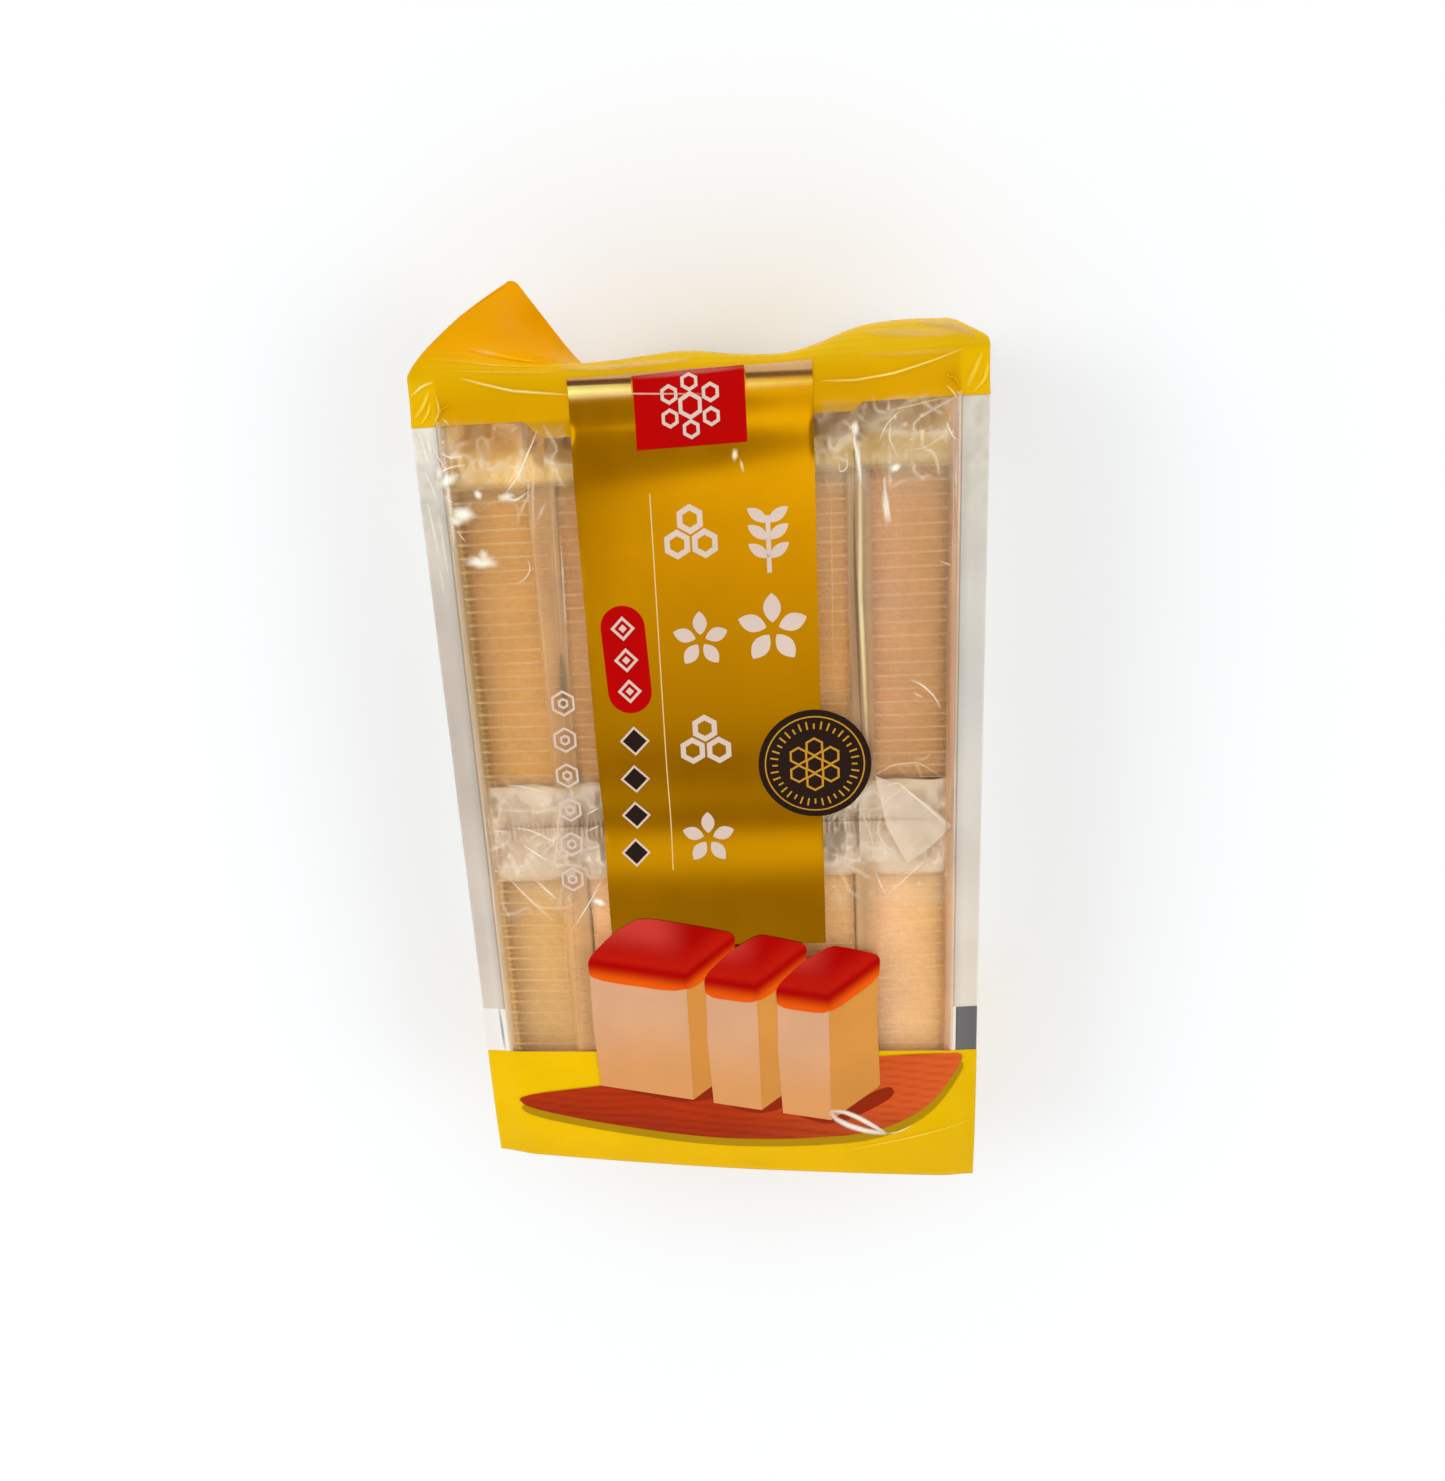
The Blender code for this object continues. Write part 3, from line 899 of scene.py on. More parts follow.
def streaks(name, lines, depth):
    """Soft-edged lines of painted light and shade. Each holds its colour, strongest cover and width, and then
    x and w of its points.
    """
    parts = []
    for colour, strength, width, *way in lines:
        path = np.array(way, float).reshape(-1, 2)
        place = np.concatenate([[0], np.cumsum(np.hypot(*np.diff(path, axis=0).T))])
        at = np.linspace(0, place[-1], max(4, int(place[-1] / STREAK_STEP)) + 1)
        x, w = np.interp(at, place, path[:, 0]), np.interp(at, place, path[:, 1])
        for line in (x, w, x, w):
            line[1:-1] = (line[:-2] + 2 * line[1:-1] + line[2:]) / 4
        along = np.stack([np.gradient(x), np.gradient(w)], axis=1)
        along /= np.linalg.norm(along, axis=1, keepdims=True)
        taper = np.sin(math.pi * (0.04 + 0.92 * at / place[-1]))[:, None] ** 0.6
        beside = width / 2 * (0.35 + 0.65 * taper) * STREAK_SIDES
        x, w = x[:, None] - along[:, 1:] * beside, w[:, None] + along[:, :1] * beside
        parts.append((x, w, colour, strength * taper * STREAK_FADE))
    light_piece(name, parts, depth)


def soft_discs(name, discs, depth):
    """Soft patches of painted highlight. Each holds its colour, cover and turn in degrees, and then its
    centre and two radii.
    """
    parts = []
    angle, share = np.meshgrid(np.linspace(0, 2 * math.pi, 29)[:-1], np.linspace(0, 1, 8))
    for colour, strength, turn_by, cx, cw, rx, rw in discs:
        ragged = 1 + 0.1 * np.sin(2 * angle + cx) + 0.07 * np.sin(5 * angle + cw) + 0.05 * np.sin(9 * angle)
        a, b = rx * share * ragged * np.cos(angle), rw * share * ragged * np.sin(angle)
        c, t = math.cos(math.radians(turn_by)), math.sin(math.radians(turn_by))
        parts.append((cx + a * c - b * t, cw + a * t + b * c, colour, strength * (1 - ramp(share, 0.1, 0.9))))
    light_piece(name, parts, depth, closed=True)


VEIL_CELL = 0.42


def veil(name, box, scale, seed, strength, colour):
    """Painted highlights of crumpled film catching the light: a net of fine bright ridges and sparks that
    fades out at its edges.
    """
    x0, x1, w0, w1 = box

    def cover(x, w):
        fade = ramp(x, x0, 3) * ramp(x, x1, -3) * ramp(w, w0, 4) * ramp(w, w1, -4)
        net = np.zeros(x.shape)
        for turn in range(3):
            angle = 0.5 + 1.15 * turn + seed
            along = x * math.cos(angle) + w * math.sin(angle)
            beside = w * math.cos(angle) - x * math.sin(angle)
            value = noise(along * 0.3, beside, scale * 0.62, seed + turn)
            slope = np.hypot(*np.gradient(value)) / VEIL_CELL
            line = np.exp(-((value / slope.clip(0.02, None) / 0.38) ** 2))
            broken = smooth(1.6 * noise(along, beside, scale * 1.1, seed + 7 + turn) + 0.1)
            net = np.maximum(net, line * broken)
        patchy = smooth(0.5 + 0.9 * noise(x, w, scale * 1.2, seed + 2))
        spark = ramp(noise(x, w * 0.7, scale * 0.22, seed + 11), 0.66, 0.3) * patchy
        return (fade * (strength * net + 0.09 * patchy + 0.4 * spark)).clip(0, 1)

    def ink(x, w):
        return np.broadcast_to(srgb(*colour), x.shape + (3,))

    columns, rows = int((x1 - x0) / VEIL_CELL), int((w1 - w0) / VEIL_CELL)
    film_patch(name, (x0, x1), (w0, w1), columns, rows, STREAK, lift=0.12, ink=ink, soft=cover)


GLINT = (255, 246, 228)
PALE = (240, 220, 190)
GOLDEN = (255, 232, 70)
# Painted highlights: glints on creases, the crinkled yellow corners and the bend, and a reflection over the
# board picture
PAINTED_HIGHLIGHTS = (
    (GOLDEN, 0.6, 1.3, -76.4, 92.4, -73.6, 95.6, -71.6, 99.4),
    (GOLDEN, 0.7, 0.8, -74.6, 90.8, -72.4, 93.4, -71.8, 96.4),
    ((255, 244, 140), 0.7, 0.6, -70.8, 90.6, -69, 94, -69.8, 97.8),
    ((255, 244, 160), 0.7, 0.9, -76.8, 98.4, -73.6, 100.6, -70.2, 101.4),
    (GLINT, 0.7, 0.5, -68.2, 92, -66.6, 90.2), (GOLDEN, 0.5, 1.6, 71.6, 92, 73.8, 96.4, 75.6, 100.4),
    (GOLDEN, 0.6, 0.9, 73.2, 90.8, 76.2, 93.6, 77, 98),
    ((255, 206, 180), 0.7, 0.6, -34, 96.1, -17.4, 95.4, 3.1, 94.2),
    ((255, 240, 150), 0.8, 0.9, -62.3, 101.9, -55.1, 99.7, -48.5, 97.9, -34, 96.1),
    ((255, 236, 110), 0.8, 0.9, 34.3, 95.6, 43.1, 95.3, 53.1, 96.7, 62.7, 99.2, 70.5, 101.7),
    (GLINT, 0.75, 0.8, -55.6, -42, -49.5, -48.5),
    (GLINT, 0.7, 0.6, -64.4, -40.5, -58.5, -47.5, -51.5, -55.2),
    (GLINT, 0.7, 0.6, -34.9, -41.8, -39.5, -49.5, -45.2, -57.9),
    (GLINT, 0.6, 0.5, 46.6, -40.8, 48, -44.5, 50, -48.7),
    (GLINT, 0.6, 0.5, 50, -48.7, 55.5, -43.6, 61.1, -38.3),
    (GLINT, 0.8, 0.7, -53, 71, -48.5, 76, -45, 82.5, -42.6, 87.5),
    (GLINT, 0.7, 0.9, -54, 70.5, -50, 69.5, -46.4, 71.5), (PALE, 0.6, 0.5, -45.6, 60, -45.2, 70, -43.8, 80),
    (GLINT, 0.6, 0.5, -52.4, 46.8, -49.3, 48.4, -47.6, 51, -48.3, 54),
    (GLINT, 0.7, 0.8, -69.8, 83, -66.8, 81.5, -63.5, 82),
    (GLINT, 0.75, 0.7, -72, 75, -70, 78.4, -66, 79.4, -62.5, 79.6),
    (GLINT, 0.6, 0.5, -67.4, 62.4, -66.4, 60.6, -65.2, 59),
    (GLINT, 0.7, 0.7, 57, 15.9, 60.4, 14.2, 63.8, 10.6, 65.4, 7.4),
    (GLINT, 0.6, 0.5, 57.4, 12.4, 60.6, 10.6), (GLINT, 0.7, 1.2, 49.9, 70.6, 50.4, 65, 51.6, 58.6),
    (GLINT, 0.85, 1, 42.4, 84.4, 42.2, 80.4, 43.2, 76, 44, 69),
    (GLINT, 0.8, 0.6, 41, 82.8, 42.4, 84.8, 43.4, 82.8),
    (GLINT, 0.6, 0.6, 38, 75.2, 38.4, 72, 40.6, 73.6, 40, 77),
    ((255, 240, 150), 0.7, 0.6, 66.2, 92.6, 68, 91, 69, 89),
    (GLINT, 0.7, 0.6, 66, 84, 67.8, 79.6, 69.6, 78.8),
    ((244, 214, 130), 0.6, 0.5, 49.5, 87, 56, 88, 64, 89.4, 67.4, 89.6),
    (GLINT, 0.6, 0.5, 64.5, 48.2, 67.8, 46.8),
    (GLINT, 0.6, 0.7, -62, -11.6, -57, -12.2, -52, -13.8, -49.6, -14.2),
    (GLINT, 0.7, 0.6, -64, -25.2, -57.6, -25.8, -52, -28.4, -47.6, -31.2),
    (GLINT, 0.7, 0.9, -58.2, -31.2, -54, -34.4, -51, -36.4),
    (PALE, 0.6, 0.5, -46.4, -18.6, -47.6, -27, -49.4, -36.4, -51.8, -40),
    (GLINT, 0.6, 0.8, -38.6, -22, -34.4, -19.8), (GLINT, 0.7, 0.6, -39.4, -27.6, -34.6, -25.4),
    (PALE, 0.7, 0.5, 45.6, -12.6, 52, -8.6, 59, -8, 65.4, -12.2),
    (GLINT, 0.75, 0.7, 49.6, -15.4, 53.4, -14, 61.6, -21.6, 67.4, -27.2),
    (PALE, 0.6, 0.5, 40.6, -20.6, 43.6, -24, 46, -30.6, 46.6, -38),
    (PALE, 0.6, 0.6, 47, -28.4, 49.4, -33, 52.4, -35.4),
    ((255, 226, 90), 0.6, 0.6, 75.9, -126, 57.2, -132.2, 38.2, -137.1),
    (GLINT, 0.5, 0.8, -75.4, 88.6, -74.4, 85, -73.6, 80.6), (GLINT, 0.55, 0.5, -73.2, 87.4, -72.4, 83),
    (GLINT, 0.45, 0.7, -74.9, 78.6, -73.2, 74.4, -72.3, 70.6),
    (GLINT, 0.4, 1.1, -75.2, 70.4, -74.4, 63, -73.7, 56),
    (GLINT, 0.6, 0.5, -72.3, 67, -72, 59.6, -71.6, 50.8), (GLINT, 0.35, 0.7, -74, 52.4, -73.4, 44.2),
    (GLINT, 0.6, 0.6, -71.8, 84.6, -69.6, 80.4, -68.4, 77.2),
    (GLINT, 0.5, 0.6, 54.6, 87.4, 50.8, 84, 48.6, 79.4), (GLINT, 0.5, 0.5, 52, 85.8, 51.4, 80, 54.2, 74.6),
    (PALE, 0.55, 0.6, 67.6, 86.6, 66, 80.6, 60.6, 77.4, 54.6, 77),
    (GLINT, 1, 2.3, 32.1, -122.2, 36.6, -122.6, 40.9, -124.7, 45.6, -127.8, 49.6, -130.7),
    (GLINT, 1, 2.7, 32.1, -122.2, 33.4, -125, 37.6, -127.6, 43, -129.6, 49.6, -130.7),
    (GLINT, 0.7, 0.6, 49.6, -130.7, 54, -129.8, 57.5, -127.6),
)
streaks("painted_highlights", PAINTED_HIGHLIGHTS, -0.34)
# Painted highlights: soft glare spots on the film
GLARES = (
    (GLINT, 0.95, 15, -68.6, 75.8, 4.6, 2.2), (GLINT, 0.8, 0, -70.6, 77.8, 1.6, 2.6),
    (GLINT, 1, 10, -65.4, 66.6, 4.9, 2.9), (GLINT, 0.8, 0, -67.4, 64.8, 2.4, 2),
    (GLINT, 1, -6, -61.4, 53.4, 5.4, 2.5), (GLINT, 0.7, 0, -60.6, 55.2, 1.8, 2.4),
    (GLINT, 0.95, 20, -60.4, 71.6, 1.4, 2), (GLINT, 1, -30, -36.6, -49.4, 2.6, 1.7),
    (GLINT, 0.95, 40, 52.9, 72.8, 2, 1.6), (GLINT, 0.8, 8, 50.4, 63, 1.3, 6),
    (GLINT, 0.9, 0, 42.6, 83.4, 1.6, 2.4), (GLINT, 0.7, 6, 43.2, 75.6, 1.1, 7),
    (GLINT, 0.75, 10, -52.6, 70.6, 3.6, 1.5), ((255, 244, 190), 0.9, -10, 10.6, 78.4, 1.2, 1.9),
    ((255, 240, 160), 0.7, 16, 12.4, 75.4, 0.6, 2.2),
)
soft_discs("film_glares", GLARES, -0.3)
# Painted reflections: a pinkish sheen over the red square's top, and pale sheens on the header and its roll
SHEENS = (
    ((214, 110, 96), 0.6, 2.2, -15.6, 99.6, 0, 100.3, 13.8, 100.9),
    ((240, 200, 96), 0.45, 5, 46, 110.6, 58, 109, 70, 107),
    ((226, 186, 120), 0.5, 5, 60, 114, 68, 110.4, 74, 106),
    ((240, 196, 70), 0.35, 2, 44.5, 102.6, 58, 101.8, 69.5, 101.5),
    ((240, 196, 104), 0.55, 3.4, -36, 104.6, -24, 103.8, 0, 104.6),
    ((255, 198, 10), 0.65, 3.6, -66, 114.6, -56, 113.6, -40, 111.6),
    ((244, 204, 40), 0.45, 1.2, -70, 108.6, -54, 106.8, -40, 105.8),
    ((236, 196, 40), 0.4, 1, -68, 104.4, -52, 103.6, -38, 102.8),
)
streaks("painted_sheens", SHEENS, -0.26)

# Painted reflection where the gold strip goes over the bend: a bright line, a dark line and a haze
SHINE_LOW_W = 92


def shine_parts(x, w):
    """Share across the strip, and the painted bright, dark and hazy reflected bands on the way up the bend.
    """
    right = (x - GOLD_LEFT_X) / (GOLD_RIGHT_X - GOLD_LEFT_X)
    up = w - (96.6 - 0.9 * right)
    bright = bell(up, 0, 1.5 - 0.6 * right) * (1 - 0.25 * right)
    return right, bright, 0.85 * bell(up, 2.3, 0.75), 0.92 * smooth(up - 2.7)


def shine_cover(x, w):
    """The bands' cover, which leaves out the red square."""
    shown = np.maximum(ramp(x, -16, -0.5), ramp(x, 14, 0.5))
    shown = np.maximum(shown, smooth((w - 101.4 - 0.057 * (x - 13.9)) / 0.4))
    return (sum(shine_parts(x, w)[1:]) * ramp(w, SHINE_LOW_W, 1.5)).clip(0, 1) * shown


def shine_ink(x, w):
    right, bright, dark, hazy = shine_parts(x, w)
    colour = blend_colour(srgb(255, 240, 140), srgb(255, 206, 60), right)
    colour = blend_colour(colour, srgb(92, 46, 0), ramp(dark - bright, -0.3, 0.6))
    return blend_colour(colour, srgb(204, 156, 100), hazy)


film_patch(
    "gold_shine", GOLD_SPAN, up_to_gold_top(SHINE_LOW_W), 150, 40, STREAK, lift=0.19,
    ink=shine_ink, soft=shine_cover,
)
# Painted highlights of the crumpled film over the upper cells and in the gaps
veil("crumple_highlights_top_left", (-71.5, -55, 66, 92), 6.5, 201, 0.45, (250, 240, 222))
veil("crumple_highlights_top_middle", (-54, -34, 62, 90), 7.5, 211, 0.4, (250, 236, 212))
veil("crumple_highlights_top_right", (33, 70, 66, 92), 6.5, 225, 0.38, (250, 236, 210))
veil("crumple_highlights_gap_left", (-71, -33.8, -58, -8), 9, 231, 0.3, (248, 234, 214))
veil("crumple_highlights_gap_right", (32, 70.5, -54, -4), 9, 241, 0.3, (248, 234, 214))

# Painted shade and highlights along the folds of the wraps beside and between the cells, and a painted shadow
# line at the end of the left fin
FOLD_SHADE_AND_LIGHT = (
    ((190, 146, 98), 0.6, 0.7, -41, 84, -41.4, 42, -41.8, 14, -42.2, -12),
    ((244, 214, 172), 0.6, 0.4, -40.2, 70, -40.6, 42, -41, 26),
    ((112, 112, 88), 0.75, 2.6, -41.4, 27, -41.6, 18, -41.9, 10),
    ((242, 206, 150), 0.5, 0.6, -46.6, 84, -46.2, 50, -46, 0),
    ((204, 150, 110), 0.6, 0.8, -44.2, -38, -45.6, -70, -46.6, -98),
    ((244, 206, 156), 0.5, 0.5, -47.4, -46, -48.8, -72, -49.4, -98),
    ((176, 146, 104), 0.5, 2.6, 45.6, 74, 45.6, 40, 46.6, -4),
    ((248, 226, 170), 0.95, 1.7, 43.7, 80, 43.4, 40, 44.9, -4),
    ((112, 70, 20), 0.95, 0.9, 42.3, 78, 42, 49, 43, 10, 43.8, -7),
    ((172, 92, 48), 0.75, 0.7, 68.5, 73, 69.3, 37.3, 69.7, -13.8),
    ((222, 168, 96), 0.5, 0.6, 67, 30, 67.4, -20, 68, -100),
    ((236, 222, 204), 0.7, 0.6, 70.6, 88, 71, 20, 71.6, -60, 72, -100),
    ((176, 160, 136), 0.5, 0.8, -69.6, 88, -69.8, 40, -70, -85),
    ((92, 88, 80), 0.85, 1.2, -72, -85, -71.6, -100.8), ((236, 188, 146), 0.4, 0.5, 36, 74, 35.6, 20),
)
streaks("fold_shade_and_light", FOLD_SHADE_AND_LIGHT, 0.6)

FLAP = ((47.1, -12.2), (52, -14.4), (62, -21), (69, -27.8), (63, -34.4), (56.2, -39.2), (50.4, -28))
flat_piece("wrap_flap", [(FLAP, srgb(250, 232, 208))], -0.5, material=WRAP, soft=0.55)

# Print: everything here is generic, in place of the bag's own lettering and picture
PRINT_WHITE = srgb(214, 192, 178)
PRINT_RED = srgb(180, 2, 2)
PRINT_DARK = srgb(40, 26, 20)
PRINT_GOLD = srgb(196, 140, 40)


def around(angle, across, up=None):
    """A point round a centre, by its angle in degrees and one or two radii."""
    turn = math.radians(angle)
    return across * math.cos(turn), (across if up is None else up) * math.sin(turn)


def turned(points, centre, angle=0):
    """The outline turned by degrees and moved to its centre."""
    c, s = around(angle, 1)
    return [(centre[0] + x * c - y * s, centre[1] + x * s + y * c) for x, y in points]


def polygon(sides, radius, centre):
    return turned([around(90 + 360 * k / sides, radius) for k in range(sides)], centre)


def ring(centre, outer, inner, sides=6, colour=PRINT_WHITE):
    """A ring of separate quads."""
    shapes = []
    for k in range(sides):
        a, b = 90 + 360 * k / sides, 90 + 360 * (k + 1) / sides
        quad = [around(a, inner), around(a, outer), around(b, outer), around(b, inner)]
        shapes.append((turned(quad, centre), colour))
    return shapes


def bar(x0, w0, x1, w1, width, colour):
    """A straight bar between two points."""
    length = math.hypot(x1 - x0, w1 - w0)
    nx, nw = (w0 - w1) / length * width / 2, (x1 - x0) / length * width / 2
    return [(x1 + nx, w1 + nw), (x1 - nx, w1 - nw), (x0 - nx, w0 - nw), (x0 + nx, w0 + nw)], colour


def row_of(count, x, w, step_x, step_w):
    """Places of equal marks one below the other."""
    return [(x - step_x * k, w - step_w * k) for k in range(count)]


# Red square over the bend, with a white ring of honeycomb cells
SQUARE = ((-15.9, 100), (-15.8, 80.9), (14.1, 81.6), (13.9, 101.7))
SQUARE_CENTRE = (-0.8, 91.6)
flat_piece("red_square", [(SQUARE, PRINT_RED)], 0.22)
marks = ring(SQUARE_CENTRE, 3.6, 2.4)
for k in range(6):
    marks += ring(turned([around(30 + 60 * k, 6.4, 6)], SQUARE_CENTRE)[0], 2.6, 1.6)
flat_piece("square_marks", marks, 0.28)

# Red pill with three white diamonds
PILL_CENTRE = (-22.7, 24.3)
PILL_CORNER = 6.2
PILL_HALF_LENGTH = 9.2
pill = []
for x, w, start in ((0.1, 1, 0), (-0.1, 1, 90), (-0.1, -1, 180), (0.1, -1, 270)):
    pill += turned([around(start + 90 * k / 8, PILL_CORNER) for k in range(9)], (x, w * PILL_HALF_LENGTH))
flat_piece("red_pill", [(turned(pill, PILL_CENTRE, 2.2), PRINT_RED)], 0.22)
marks = []
for k in (-1, 0, 1):
    middle = (PILL_CENTRE[0] - 0.35 * k, PILL_CENTRE[1] + 9 * k)
    marks += ring(middle, 3.5, 2.4, 4) + [(polygon(4, 1.2, middle), PRINT_WHITE)]
flat_piece("pill_marks", marks, 0.28)

# Thin line and small marks
flat_piece("thin_line", [bar(-12.9, 69.5, -13.3, -39.7, 0.35, srgb(224, 190, 130))], 0.22)
DARK_PLACES = row_of(4, -22, 0.6, 0.75, 11.6)
flat_piece("dark_mark_edges", [(polygon(4, 4.4, middle), PRINT_WHITE) for middle in DARK_PLACES], 0.22)
flat_piece("dark_marks", [(polygon(4, 3.5, middle), PRINT_DARK) for middle in DARK_PLACES], 0.26)
marks = []
for middle in row_of(6, -42.1, 12.4, 0.42, 10.9):
    marks += ring(middle, 3.9, 3.1) + ring(middle, 1.7, 0.9)
flat_piece("window_marks", marks, 0.2)

# Dark disc with a gold tick ring and honeycomb
DISC = (29.8, -8)
flat_piece("dark_disc", [(polygon(48, 16.2, DISC), PRINT_DARK)], 0.3)
marks = ring(DISC, 14.4, 14, 48, PRINT_GOLD)
for k in range(36):
    start, end = turned([around(10 * k, 10.6), around(10 * k, 12.9 if k % 3 else 12.2)], DISC)
    marks.append(bar(*start, *end, 0.5, PRINT_GOLD))
for middle in turned([(0, 0)] + [around(30 + 60 * k, 5.3) for k in range(6)], DISC):
    marks += ring(middle, 2.9, 2.2, 6, PRINT_GOLD)
flat_piece("disc_marks", marks, 0.36)


# White ornaments down the strip: cells, blossoms and a sprig
def leaf(length, width, base, angle=0):
    side = [(width * math.sin(math.pi * k / 10) ** 0.8, length * (k / 10)) for k in range(11)]
    return turned(side + [(-x, y) for x, y in side[-2:0:-1]], base, angle)


def honeycomb(middle, size):
    shapes = []
    for place in turned([(0, size), (-0.87 * size, -0.5 * size), (0.87 * size, -0.5 * size)], middle):
        shapes += ring(place, size * 0.92, size * 0.52)
    return shapes


def blossom(middle, size):
    petal = leaf(size, size * 0.3, (0, size * 0.22))
    return [(turned(petal, middle, 72 * k), PRINT_WHITE) for k in range(5)]


def sprig(middle, size):
    x, w = middle
    shapes = [bar(x, w - size, x, w + size * 0.7, size * 0.14, PRINT_WHITE)]
    for side in (-1, 1):
        for at in (-0.55, 0, 0.5):
            shapes.append((leaf(size * 0.75, size * 0.17, (x, w + at * size), -side * 55), PRINT_WHITE))
    return shapes


ornaments = honeycomb((-2.4, 57.9), 4.4) + blossom((-1.2, 29.2), 6.6) + honeycomb((-1.4, -0.6), 4.4)
ornaments += blossom((-2.2, -30.2), 6.6) + sprig((18.8, 56), 9) + blossom((19.1, 31.5), 8.2)
flat_piece("white_ornaments", ornaments, 0.22)

# Picture of cut castella on a board, in flat fields
BOARD = srgb(176, 50, 16)
BOARD_LIGHT = srgb(216, 92, 40)
BOARD_SHADE = srgb(172, 132, 4)
SLICE_SIDE = srgb(214, 162, 124)
SLICE_SIDE_LOW = srgb(216, 150, 92)
SLICE_FRONT = srgb(212, 142, 66)
CRUST_RED = srgb(168, 2, 0)
CRUST_LIGHT = srgb(188, 26, 10)
CRUST_SHEEN = srgb(206, 66, 56)
CRUST_ORANGE = srgb(232, 88, 8)


def rounded(outline, share=0.22):
    """The outline with its corners cut off, and those that this leaves cut off again."""
    for _ in range(2):
        cut = []
        for (x0, w0), (x1, w1) in zip(outline, outline[1:] + outline[:1]):
            cut.append((x0 + (x1 - x0) * share, w0 + (w1 - w0) * share))
            cut.append((x1 + (x0 - x1) * share, w1 + (w0 - w1) * share))
        outline = cut
    return outline


board = [(-70, -117), (-66, -121.5), (-40, -127.5), (-8, -132.6), (20, -133.2), (46, -130.8)]
board += [(63, -121), (73.6, -104), (72, -101.2), (40, -103.2), (0, -108), (-40, -113)]
board = rounded(board)
flat_piece("board_shade", [(turned(board, (0.4, -3)), BOARD_SHADE)], 0.16)


def board_ink(x, w):
    grain = np.abs(np.sin((w + 0.09 * x + 1.5 * noise(x * 0.3, w, 7, 131)) * 1.15)) ** 8
    shade = blend_colour(BOARD, BOARD_LIGHT, ramp(x, -10, 90))
    edge = smooth((0.0016 * (x - 10) ** 2 - 122 - w) / 9)
    return shade * (1 - 0.22 * grain - 0.18 * edge)[..., None]


flat_piece("board", [(board, board_ink)], 0.2, 0.9)

# Way along a slice's front, step to its far corner, and height. Each slice has its corner and length
ALONG = (0.985, -0.17)
DEEP = (15.5, 12.5)
HEIGHT = 44
SLICES = ((-41, -113, 30), (-5, -119.2, 15.5), (17, -123, 15.5))
CRUST_TALL = 6.4
FIELD_LENGTH = 30


def field(low, high, w0):
    """A colour running from low at w0 to high further up."""
    def paint(x, w):
        return blend_colour(low, high, ramp(w, w0, FIELD_LENGTH))
    return paint


def crust_paint(x0, x1, w_left, w_right):
    """Orange along the lower edge of a crust, deep red above it and a pale sheen far back."""
    def paint(x, w):
        slope = (w_right - w_left) / (x1 - x0)
        edge = np.where(x < x1, w_left + (x - x0) * slope, w_right + (x - x1) * DEEP[1] / DEEP[0])
        up = (w - edge) / CRUST_TALL
        colour = blend_colour(CRUST_ORANGE, CRUST_RED, ramp(up, 0.1, 0.75))
        colour = blend_colour(colour, CRUST_LIGHT, 0.8 * ramp(up, 0.95, 0.3) * ramp(up, 2.6, -1.4))
        back = ramp(up, 1.5, 1.6) * ramp(x, x1 + 4, -14)
        return blend_colour(colour, CRUST_SHEEN, 0.75 * back)
    return paint


sides, fronts, crusts, shades = [], [], [], []
for x0, w0, length in SLICES:
    x1, w1 = x0 + ALONG[0] * length, w0 + ALONG[1] * length
    x2, w2 = x1 + DEEP[0], w1 + DEEP[1]
    top0, top1, top2 = w0 + HEIGHT, w1 + HEIGHT, w2 + HEIGHT
    low0, low1 = top0 - CRUST_TALL, top1 - CRUST_TALL
    shade = [(x0 + 2, w0 - 0.4), (x1 + 1, w1 - 2.6), (x2 + 5, w2 - 4), (x2 + 3, w2 + 1), (x1, w1 + 2)]
    shades.append((rounded(shade), BOARD * 0.62))
    side = [(x0, w0), (x1, w1), (x1, top1 - 1), (x0 - 0.4, top0 - 1), (x0 - 0.9, w0 + HEIGHT / 2)]
    sides.append((side, field(SLICE_SIDE_LOW, SLICE_SIDE, w0)))
    end = [(x1, w1), (x2 - 0.8, w2 - 0.6), (x2, w2 + 0.8)]
    end += [(x2 - 0.7, w2 + HEIGHT / 2), (x2, top2 - 2), (x1, top1 - 1)]
    fronts.append((end, field(SLICE_FRONT * 0.9, SLICE_FRONT, w1)))
    crust = [(x0 - 0.6, low0), (x1, low1), (x2, top2 - CRUST_TALL), (x2 + 0.3, top2 + 1.2)]
    crust += [(x1 + DEEP[0] / 2, top2 + 3.2), (x0 + DEEP[0] + 1, top0 + DEEP[1] + 2)]
    crust += [(x0 + DEEP[0] / 2, top0 + DEEP[1] * 0.62 + 1.4), (x0 - 0.8, top0 + 0.6)]
    crusts.append((rounded(crust, 0.16), crust_paint(x0, x1, low0, low1)))
flat_piece("slice_shades", shades, 0.24)
flat_piece("slice_ends", fronts, 0.28)
flat_piece("slice_sides", sides, 0.32)
for number, crust in enumerate(crusts):
    flat_piece("slice_crust_%d" % (number + 1), [crust], 0.36 + 0.04 * number, 0.9)

# Camera at the photograph's place
CAMERA_ROWS = (
    (0.9963069, -0.0482506, -0.0710242),
    (0.0297906, 0.9700410, -0.2411076),
    (0.0805300, 0.2381013, 0.9678960),
)
FOCAL_PIXELS = 900
LONG_SIDE_PIXELS = 1481
SENSOR = 36


def add_object(name, data):
    obj = bpy.data.objects.new(name, data)
    bpy.context.scene.collection.objects.link(obj)
    return obj


camera = add_object("camera", bpy.data.cameras.new("camera"))
camera.data.sensor_width = SENSOR
camera.data.lens = FOCAL_PIXELS / LONG_SIDE_PIXELS * SENSOR
camera.data.clip_start = 0.01
place = Matrix.Translation(placed(CAMERA_PLACE)[0])
camera.matrix_world = place @ Matrix(CAMERA_ROWS).transposed().to_4x4()
bpy.context.scene.camera = camera

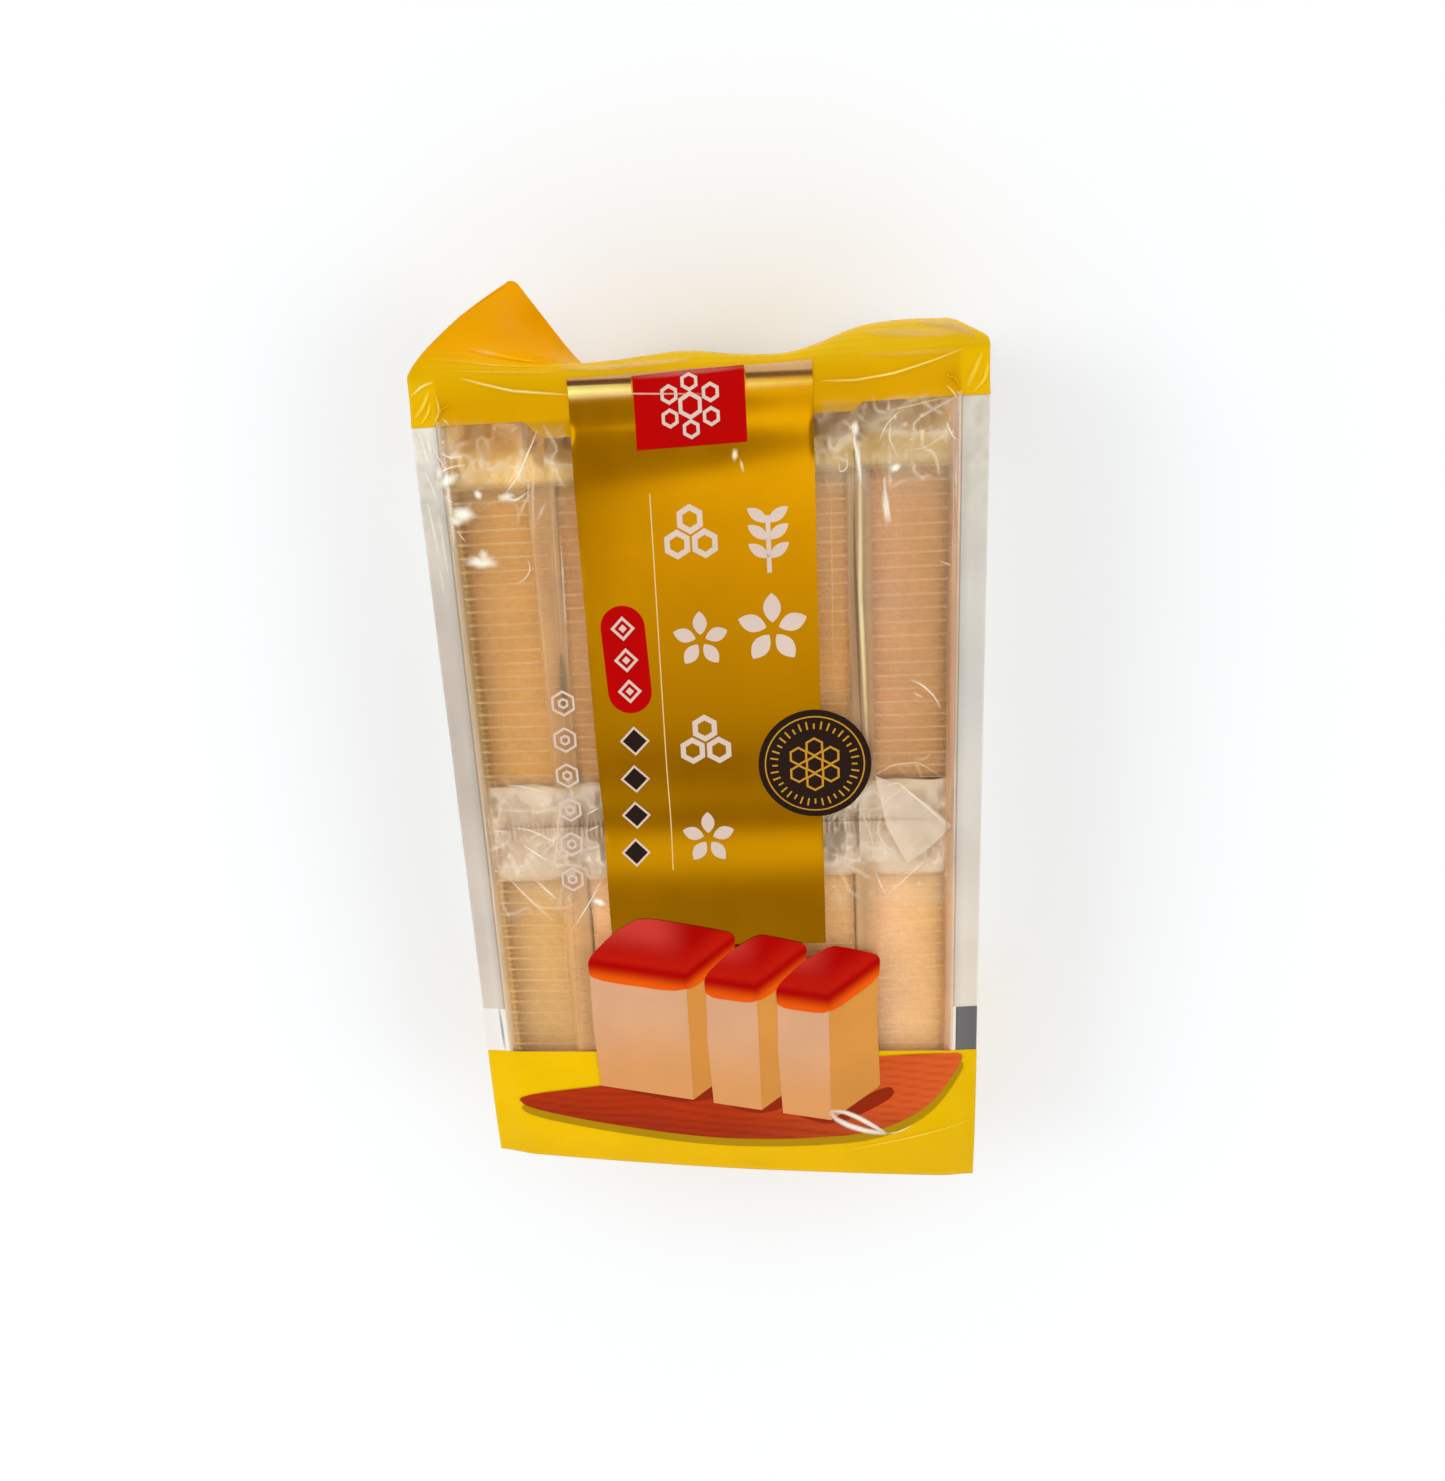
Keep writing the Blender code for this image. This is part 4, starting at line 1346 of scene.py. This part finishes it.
# Floor
FLOOR_HALF = 3
CORNERS = ((-1, -1), (1, -1), (1, 1), (-1, 1))
floor = add_object("floor", bpy.data.meshes.new("floor"))
floor.data.from_pydata([(x * FLOOR_HALF, y * FLOOR_HALF, 0) for x, y in CORNERS], [], [(0, 1, 2, 3)])
paint, _, _ = new_material(
    "floor_paint", Base_Color=(0.93, 0.945, 0.97, 1), Roughness=0.9, Specular_IOR_Level=0.1,
)
floor.data.materials.append(paint)

# Light: a soft ceiling that is dim overhead, with one broad lamp glow near the photographer
CEILING_DIM = 0.33
HORIZON_BRIGHT = 1.6
GLOW = 0.72
world = bpy.data.worlds.new("studio")
bpy.context.scene.world = world
world.use_nodes = True
sky = Nodes(world.node_tree)


def sky_step(source, start, end):
    return sky.ranged(source, 0, 1, start, end, "SMOOTHSTEP")


z = sky.add("SeparateXYZ", "Z", {0: sky.add("TexCoord", "Generated", {})})
x, y = (z.node.outputs[axis] for axis in "XY")
height = sky.math("MAXIMUM", z, 0.05)
across, up = sky.math("DIVIDE", x, height), sky.math("DIVIDE", y, height)
front = sky.math("SUBTRACT", up, sky.math("MULTIPLY", across, 1.8))
glow = sky_step(front, 0.41, 0.32)
for source, start, end in ((up, -0.38, 0.12), (across, -0.5, -0.2), (across, 0.5, 0.1)):
    glow = sky.math("MULTIPLY", glow, sky_step(source, start, end))
shader = None
for colour, strength in (
    ((0.86, 1, 1.1, 1), sky.math("MULTIPLY", sky_step(z, 0.9, 0.35), HORIZON_BRIGHT)),
    ((1, 0.99, 0.95, 1), sky.math("MULTIPLY", glow, GLOW)),
    ((1, 0.76, 0.56, 1), CEILING_DIM),
):
    layer = sky.add("Background", 0, {"Color": colour, "Strength": strength})
    shader = sky.add("AddShader", 0, {0: shader, 1: layer}) if shader else layer
sky.feed(world.node_tree.nodes["World Output"].inputs["Surface"], shader)


LAMP_SIZE = 0.7
LAMP_COLOUR = (1, 0.97, 0.93)


def add_light(name, place, power):
    """A soft square lamp that looks at the bag."""
    lamp = add_object(name, bpy.data.lights.new(name, "AREA"))
    lamp.data.shape = "RECTANGLE"
    lamp.data.size = lamp.data.size_y = LAMP_SIZE
    lamp.data.energy = power
    lamp.data.color = LAMP_COLOUR
    lamp.location = place
    lamp.rotation_mode = "QUATERNION"
    lamp.rotation_quaternion = (-Vector(place)).to_track_quat("-Z", "Y")


add_light("left_box", (-1.3, 0.3, 0.9), 4)
add_light("right_box", (1.3, -0.2, 0.9), 3)

bpy.context.scene.view_settings.view_transform = "Standard"

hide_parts("bag")
